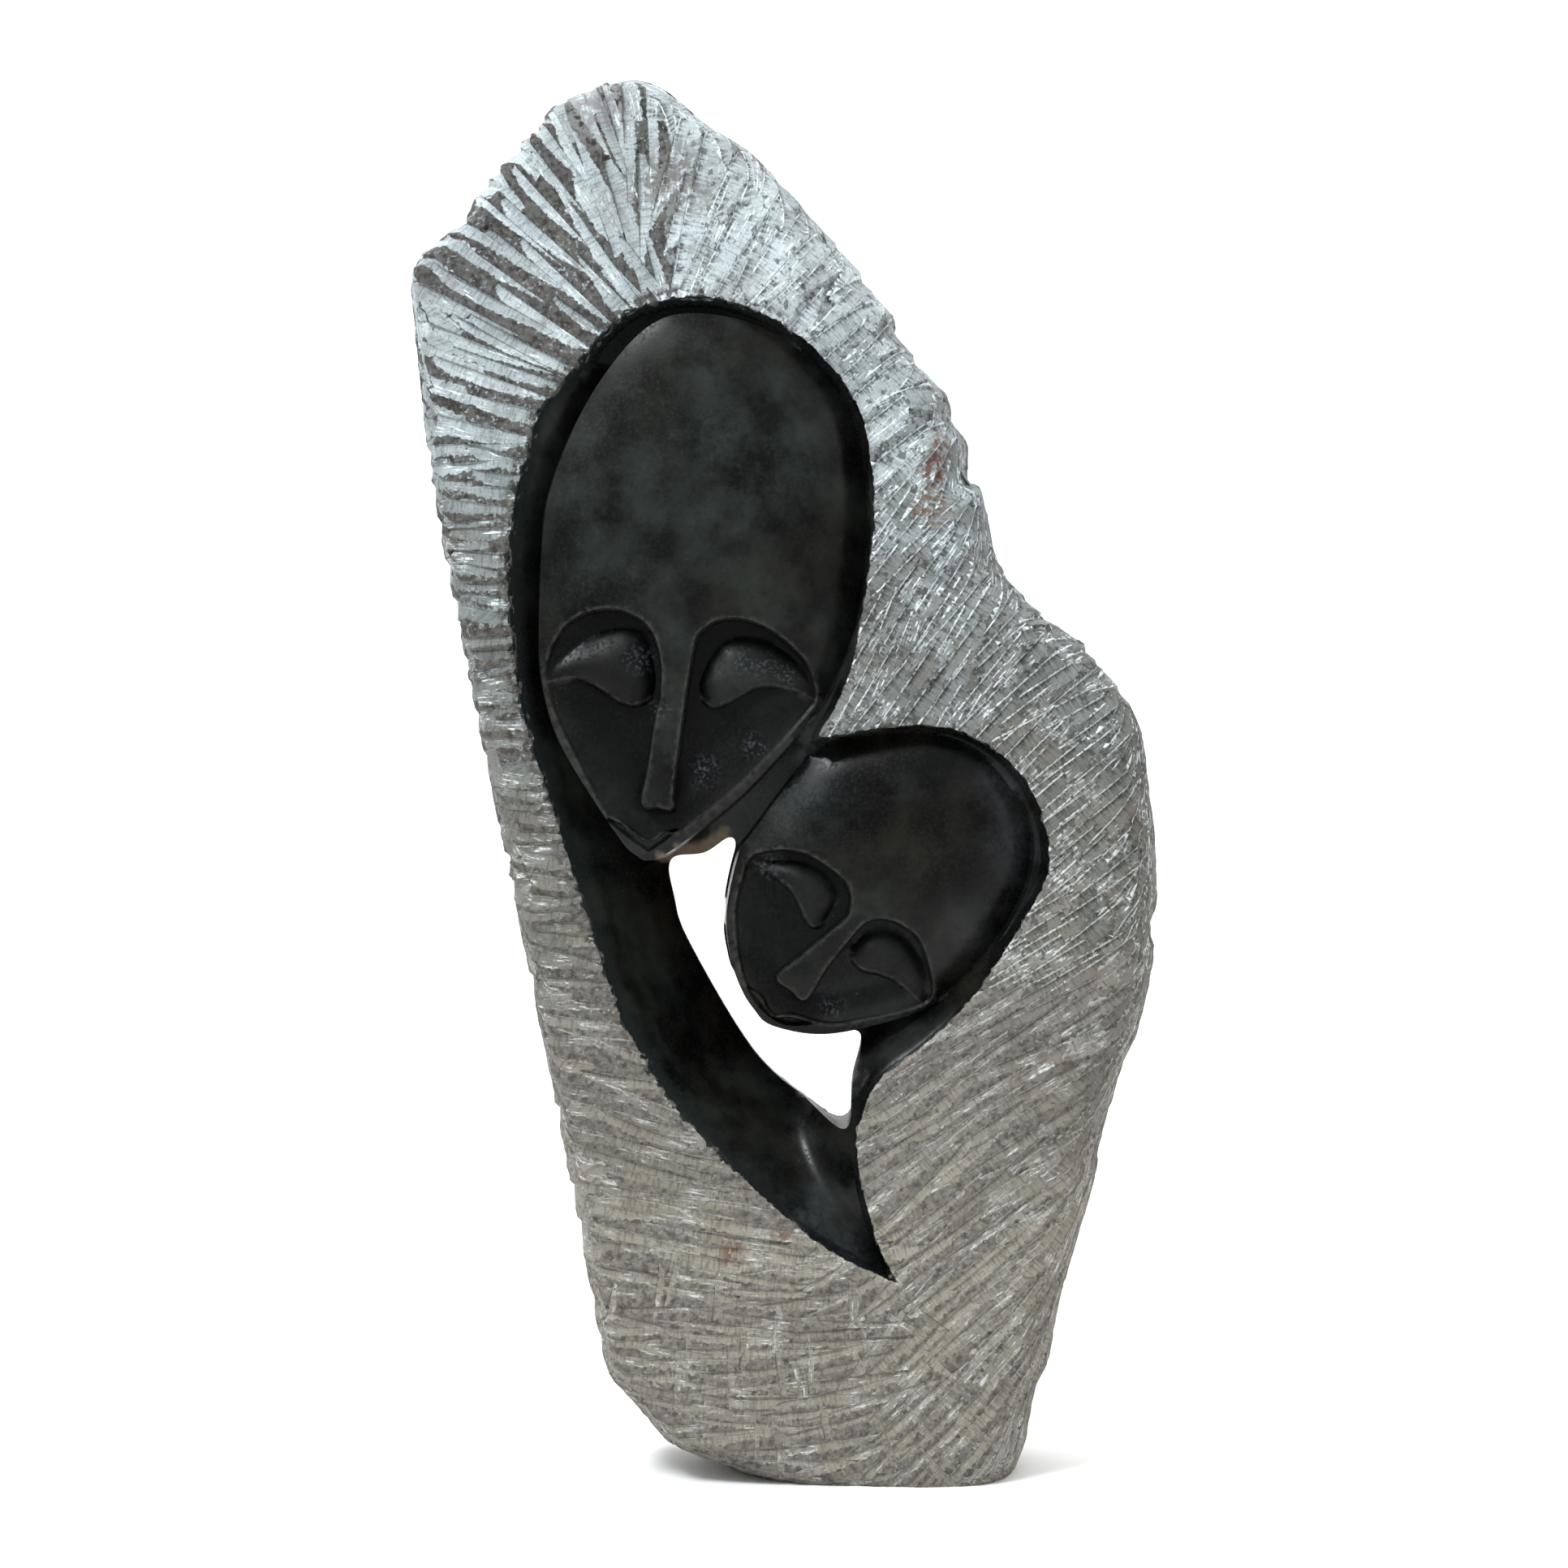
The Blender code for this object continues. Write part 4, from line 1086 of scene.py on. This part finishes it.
def build_stone():
    """The whole carving with its tool marks, fitted to the solid's own box."""
    loops = edge_rings(OUTER, rounding_along(OUTER), EDGE_ROWS)
    face_edge = loops[FRONT_ROWS][1]
    strokes = Strokes(np.random.default_rng(RANDOM_SEED))
    strokes.spread(*front_seeds(face_edge))
    points, faces = base_mesh(loops, on_rough_front(strokes.step_lines(), face_edge))
    centres = points[faces].mean(axis=1)
    polished = inside(centres[:, [0, 2]], RIM)
    polished &= centres[:, 1] < back_plane(centres[:, [0, 2]]) - BACK_CLEAR
    rough = rough_share(points, faces, polished)
    normals = vertex_normals(points, faces, ~polished)

    beside = rough > 0.99
    beside[beside] = ~inside(points[beside][:, [0, 2]], face_edge) | (points[beside, 1] > 0.0)
    strokes.spread(points[beside], normals[beside])
    mesh = bpy.data.meshes.new("carved_stone")
    placed = fitted(tooled(points, normals, rough, strokes))
    mesh.from_pydata(placed.tolist(), [], faces.tolist())
    mark_attributes(mesh, points, faces, ~polished, strokes)
    carving_attributes(mesh, points, faces, rough, polished)
    mesh.shade_smooth()
    mesh.set_sharp_from_angle(angle=math.radians(CREASE_ANGLE))
    return add_object("carved_stone", mesh)


class Value:
    """One output of a node, which can be added to, subtracted and multiplied."""

    def __init__(self, nodes, socket):
        self.nodes = nodes
        self.socket = socket

    def math(self, operation, a, b):
        return self.nodes.value("ShaderNodeMath", {0: a, 1: b}, operation=operation)

    def __add__(self, other):
        return self.math("ADD", self, other)

    def __sub__(self, other):
        return self.math("SUBTRACT", self, other)

    def __rsub__(self, other):
        return self.math("SUBTRACT", other, self)

    def __mul__(self, other):
        return self.math("MULTIPLY", self, other)

    def ramp(self, low, high):
        """0 at low and 1 at high, in a straight line between them."""
        links = {"Value": self, "From Min": low, "From Max": high}
        return self.nodes.value("ShaderNodeMapRange", links)


class Nodes:
    """Short names for adding nodes to a tree."""

    def __init__(self, tree):
        self.tree = tree

    def add(self, kind, links=(), **values):
        node = self.tree.nodes.new(kind)
        for key, value in values.items():
            setattr(node, key, value)
        for socket, source in dict(links).items():
            self.feed(node.inputs[socket], source)
        return node

    def feed(self, socket, source):
        if isinstance(source, Value):
            self.tree.links.new(source.socket, socket)
        else:
            socket.default_value = source

    def value(self, kind, links=(), output=0, **values):
        return Value(self, self.add(kind, links, **values).outputs[output])

    def parts(self, vector):
        """The three numbers of a vector."""
        node = self.add("ShaderNodeSeparateXYZ", {"Vector": vector})
        return [Value(self, socket) for socket in node.outputs]

    def attribute(self, name, output="Fac"):
        return self.value("ShaderNodeAttribute", (), output, attribute_name=name)

    def mix(self, share, a, b):
        """A colour that goes from a to b."""
        return self.value("ShaderNodeMix", {0: share, 6: a, 7: b}, 2, data_type="RGBA")

    def blend(self, share, a, b):
        """A number that goes from a to b."""
        return self.value("ShaderNodeMix", {0: share, 2: a, 3: b}, 0, data_type="FLOAT")

    def scaled(self, colour, factor):
        """A colour times a number."""
        links = {0: colour, "Scale": factor}
        return self.value("ShaderNodeVectorMath", links, "Vector", operation="SCALE")

    def near(self, where, centre, radius, core):
        """1 within the core round a place, 0 from the radius on."""
        links = {0: where, 1: centre}
        gap = self.value("ShaderNodeVectorMath", links, "Value", operation="DISTANCE")
        return gap.ramp(radius, core)

    def stops(self, value, colours):
        """A colour ramp through the given (position, colour) stops."""
        node = self.add("ShaderNodeValToRGB", {"Fac": value})
        band = node.color_ramp
        for index, (position, colour) in enumerate(colours):
            stop = band.elements[index] if index < 2 else band.elements.new(position)
            stop.position = position
            stop.color = (*colour, 1.0)
        return Value(self, node.outputs["Color"])


class StoneNodes(Nodes):
    """The stone's nodes, with the places, mesh attributes and noises that its looks share."""

    def __init__(self, tree):
        super().__init__(tree)
        self.spot = self.value("ShaderNodeTexCoord", (), "Object")
        self.x, _, self.z = self.parts(self.spot)
        self.along, self.band, self.crisp = self.parts(self.attribute("tool", "Vector"))
        self.seed, self.ridge, self.raw = map(self.attribute, ("seed", "ridge", "raw"))
        self.to_rim, self.margin = map(self.attribute, ("to_rim", "margin"))
        self.cloud = self.noise(16.0, 5.0)
        self.mottle = self.noise(42.0, 5.0)
        self.patch = self.noise(75.0, 5.0)
        self.fine = self.noise(380.0, 4.0)
        self.grit = self.noise(1300.0, 1.0)
        self.scratch = self.noise(760.0, 3.0).ramp(0.50, 0.62)
        self.chatter = self.stroke_noise(2.0, 1.05, 0.14, 37.0)
        self.streak = self.stroke_noise(2.0, 0.10, 1.9, 53.0)
        self.ragged = self.stroke_noise(3.0, 0.55, 0.10, 91.0)
        self.worn = self.attribute("worn").ramp(0.3, 0.9) * self.fine.ramp(0.34, 0.6)

    def noise(self, scale, detail, where=None):
        links = {"Vector": where or self.spot, "Scale": scale, "Detail": detail}
        return self.value("ShaderNodeTexNoise", {**links, "Roughness": 0.6}, "Fac")

    def stroke_noise(self, detail, by_along, by_crisp, by_seed):
        """Noise that follows each tool mark, with a pattern of its own for each."""
        parts = {"X": self.along * by_along, "Y": self.crisp * by_crisp, "Z": self.seed * by_seed}
        return self.noise(1.0, detail, self.value("ShaderNodeCombineXYZ", parts))


def polish_mask(n):
    """1 on the polish, with a ragged rim that is wilder on the left."""
    spread = n.x.ramp(0.01, -0.05) * 8.0 + 3.5
    rim = ((n.noise(230.0, 4.0) - 0.5) * spread + n.to_rim).ramp(-0.12, 0.12)
    return n.blend(n.margin, n.attribute("polish"), rim)


def cut_mask(n):
    """1 where a tool mark cut the stone, 0 on the broken stone between and by the rim."""
    edge = (n.ragged - 0.5) * 3.4 + n.band
    frayed = n.to_rim.ramp(-4.9, -3.2) * n.x.ramp(0.03, -0.01)
    frayed = frayed * n.noise(210.0, 4.0).ramp(0.46, 0.52)
    return edge.ramp(0.0, 0.35) * n.crisp.ramp(0.1, 0.45) * (1.0 - frayed)


def cut_colour(n, fresh, ground, dust):
    """Colour inside the tool marks: dust, bruises, skin, pits and the shade by their edges."""
    fresh = n.scaled(fresh, n.seed.ramp(-1.6, 1.1) + n.streak.ramp(0.0, 1.0) * 0.55)
    fresh = n.mix(n.patch.ramp(0.52, 0.68) * 0.4, fresh, n.scaled(dust, 1.15))
    fresh = n.mix(n.chatter.ramp(0.50, 0.62) * 0.62, fresh, n.scaled(fresh, 0.5))
    fresh = n.mix(n.grit.ramp(0.58, 0.72) * 0.5, fresh, n.scaled(ground, 0.7))
    skin = n.noise(55.0, 5.0).ramp(0.52, 0.62) * n.fine.ramp(0.3, 0.6)
    fresh = n.mix(skin * 0.45, fresh, n.mix(0.5, ground, SKIN))
    bruise = n.stroke_noise(4.0, 0.16, 1.1, 17.0).ramp(0.54, 0.61) * n.patch.ramp(0.48, 0.57)
    fresh = n.mix(bruise * n.chatter.ramp(0.35, 0.5), fresh, n.scaled(dust, 1.9))
    pits = n.noise(300.0, 3.0).ramp(0.57, 0.63) * n.patch.ramp(0.40, 0.52)
    fresh = n.mix(pits * n.ridge * 0.85, fresh, n.scaled(ground, 0.6))
    # Painted shadow of the step beside a mark's crisp edge, broken up by chatter
    painted_step_shadow = n.crisp.ramp(3.2, 0.8) * n.chatter.ramp(0.44, 0.54)
    return n.mix(painted_step_shadow * n.ridge * 0.9, fresh, n.scaled(ground, 0.45))


def rough_colour(n, mask):
    """Colour of the rough border, which goes from tan at the foot to blue-grey at the top: the
    stone's own tones, with cool light from above painted in as a paler blue-grey towards the top.
    """
    rise = n.z + (n.mottle - 0.5) * 0.22
    ground = n.stops(rise, GROUND)
    dust = n.mix(rise.ramp(0.15, 0.4), *DUST_WITH_PAINTED_COOL_TOP)
    fresh = cut_colour(n, n.stops(rise, FRESH_WITH_PAINTED_COOL_TOP), ground, dust)
    dark = n.mix(n.fine.ramp(0.38, 0.62), n.scaled(ground, 0.5), n.scaled(ground, 1.3))
    dark = n.mix(n.ridge * 0.75 * n.fine.ramp(0.36, 0.52), dark, n.scaled(fresh, 0.8))
    flecks = n.noise(620.0, 3.0).ramp(0.56, 0.66) * n.mottle.ramp(0.40, 0.62)
    dark = n.mix(flecks * 0.8, dark, dust)
    colour = n.mix(mask, dark, fresh)
    # Pale dust along a mark's crisp edge, with a painted highlight where the ridge crest catches
    # the light
    crest_dust_and_highlight = n.crisp.ramp(1.0, 0.65) * n.ragged.ramp(0.66, 0.50) * n.streak.ramp(0.30, 0.42)
    colour = n.mix(crest_dust_and_highlight * n.ridge, colour, n.scaled(dust, 1.8))
    for x, z, radius, stain in RUST:
        cover = n.near(n.spot, (x, FRONT_RUST, z), radius, 0.45 * radius)
        colour = n.mix(cover * n.fine.ramp(0.42, 0.54) * 0.85, colour, stain)
    return colour


def polished_colour(n):
    """Colour of the polish: black with clouds, specks, scuffs and pale edges, brown if raw, with
    painted shade in the sockets and cheeks, painted light on the left bevel, and painted sheen
    and highlights among the clouds and scuffs.
    """
    black = n.mix(n.cloud.ramp(0.42, 0.62), DEEP_BLACK, GREEN_BLACK)
    black = n.mix(n.mottle.ramp(0.45, 0.65) * 0.6, black, BROWN_BLACK)
    flat = n.value("ShaderNodeVectorMath", {0: n.spot, 1: (1, 0, 1)}, operation="MULTIPLY")
    # Brown clouds are the stone's own tone; the greenish-grey and bluish ones are painted sheen
    # and highlights
    for x, z, radius, colour in CLOUDS_AND_SHEEN:
        cover = n.near(flat, (x, 0, z), radius, 0.2 * radius) * n.fine.ramp(0.2, 0.7)
        black = n.mix(cover, black, colour)
    black = n.scaled(black, n.noise(52.0, 5.0).ramp(0.36, 0.64) * 1.5 + 0.3)
    # Painted light: a paler grey band along the hollow's left bevel, by the rim
    bevel = n.to_rim.ramp(4.9, 1.0) * n.x.ramp(0.02, -0.03)
    black = n.mix(bevel * n.margin, black, BEVEL_PAINTED_LIGHT)
    # Painted shade in the sockets and cheeks
    black = n.mix(n.attribute("sunk"), black, SOCKET_PAINTED_SHADE)
    specks = n.noise(800.0, 2.0).ramp(0.72, 0.78) * n.mottle.ramp(0.5, 0.6)
    black = n.mix(specks * 0.4, black, SPECK)
    # Scuffs that also paint the lids' soft broken highlights
    for x, z, radius in SCUFFS_AND_HIGHLIGHTS:
        cover = n.near(flat, (x, 0, z), 1.3 * radius, 0.2 * radius) * n.fine.ramp(0.35, 0.55)
        black = n.mix(cover * n.scratch, black, SCUFF_AND_HIGHLIGHT)
    black = n.mix(n.worn * 0.65, black, WORN)
    return n.mix(n.raw, black, n.mix(n.fine, *RAW_BROWN))


def relief(n):
    """Fine relief of the tool marks and the broken stone, none on the polish."""
    cut = n.chatter * 0.45 + n.streak * 0.35
    broken = n.fine + n.grit * 0.3
    smooth = n.blend(n.margin, n.attribute("polish"), n.to_rim.ramp(-1.0, 1.0))
    height = n.blend(n.band.ramp(-0.2, 0.4), broken, cut) * (1.0 - smooth)
    return n.value("ShaderNodeBump", {"Height": height, "Strength": 1.0, "Distance": 0.0011})


def new_material(name):
    """A new material, its node tree and the inputs of its shader."""
    material = bpy.data.materials.new(name)
    material.use_nodes = True
    return material, material.node_tree, material.node_tree.nodes["Principled BSDF"].inputs


def stone_material():
    """Polished black and tool-marked grey stone, told apart by the mesh's attributes."""
    material, tree, inputs = new_material("carved_stone")
    n = StoneNodes(tree)
    polish = polish_mask(n)
    mask = cut_mask(n)
    gloss = (n.cloud + n.fine * 0.5).ramp(0.4, 1.1) * 0.16 + n.scratch.ramp(-1.1, 4.5)
    gloss = gloss + n.raw * 0.4 + n.worn * 0.2 + n.attribute("lid") * 0.28
    for name, source in (
            ("Base Color", n.mix(polish, rough_colour(n, mask), polished_colour(n))),
            ("Roughness", n.blend(polish, n.blend(mask, 0.85, 0.6), gloss)),
            ("Specular IOR Level", 0.13),
            ("Normal", relief(n))):
        n.feed(inputs[name], source)
    return material


def add_object(name, data):
    """A new object of the scene."""
    made = bpy.data.objects.new(name, data)
    bpy.context.scene.collection.objects.link(made)
    return made


def add_floor():
    """Pale floor that sweeps up behind."""
    profile = [(-FLOOR_FRONT, 0.0), (FLOOR_RUN - FLOOR_BEND, 0.0)]
    for step in range(1, 13):
        angle = step / 12 * math.pi / 2
        profile.append((FLOOR_RUN - FLOOR_BEND + FLOOR_BEND * math.sin(angle),
                        FLOOR_BEND - FLOOR_BEND * math.cos(angle)))
    profile.append((FLOOR_RUN, FLOOR_RISE))
    verts = [(x, y, z) for x in (-FLOOR_SIDE, FLOOR_SIDE) for y, z in profile]
    count = len(profile)
    quads = [(i, i + 1, count + i + 1, count + i) for i in range(count - 1)]
    mesh = bpy.data.meshes.new("floor")
    mesh.from_pydata(verts, [], quads)
    mesh.shade_smooth()
    material, _, inputs = new_material("floor")
    inputs["Base Color"].default_value = (0.9, 0.9, 0.9, 1)
    inputs["Roughness"].default_value = 0.9
    mesh.materials.append(material)
    add_object("floor", mesh)


def add_lights():
    """Soft area lights, and a white sky that is dimmer towards the horizon."""
    world = bpy.data.worlds.new("studio")
    world.use_nodes = True
    n = Nodes(world.node_tree)
    sky = world.node_tree.nodes["Background"].inputs
    rise = n.parts(n.value("ShaderNodeTexCoord", (), "Generated"))[2]
    n.feed(sky["Color"], (1.0, 1.0, 1.0, 1))
    n.feed(sky["Strength"], n.value("ShaderNodeMapRange", {"Value": rise, **SKY_FADE}))
    bpy.context.scene.world = world
    for name, place, size, power, colour in LIGHTS:
        light = bpy.data.lights.new(name, "AREA")
        light.size = size
        light.energy = power
        light.color = colour
        lamp = add_object(name, light)
        lamp.location = place
        lamp.rotation_euler = (LIGHT_AIM - Vector(place)).to_track_quat("-Z", "Y").to_euler()
    bpy.context.scene.view_settings.view_transform = "Standard"


def add_camera(front):
    """Level camera in front of the stone, at the photo's viewing angle."""
    lens = bpy.data.cameras.new("camera")
    lens.lens = CAMERA_LENS
    lens.sensor_width = CAMERA_SENSOR
    camera = add_object("camera", lens)
    camera.location = (0.0, front - CAMERA_DISTANCE, CAMERA_HEIGHT)
    camera.rotation_euler = (math.pi / 2, 0.0, 0.0)
    bpy.context.scene.camera = camera


stone = build_stone()
stone.data.materials.append(stone_material())
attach(stone, "root")
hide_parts(STONE)
add_floor()
add_lights()
add_camera(float(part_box(STONE)[0][1]) + TOOL_REACH)
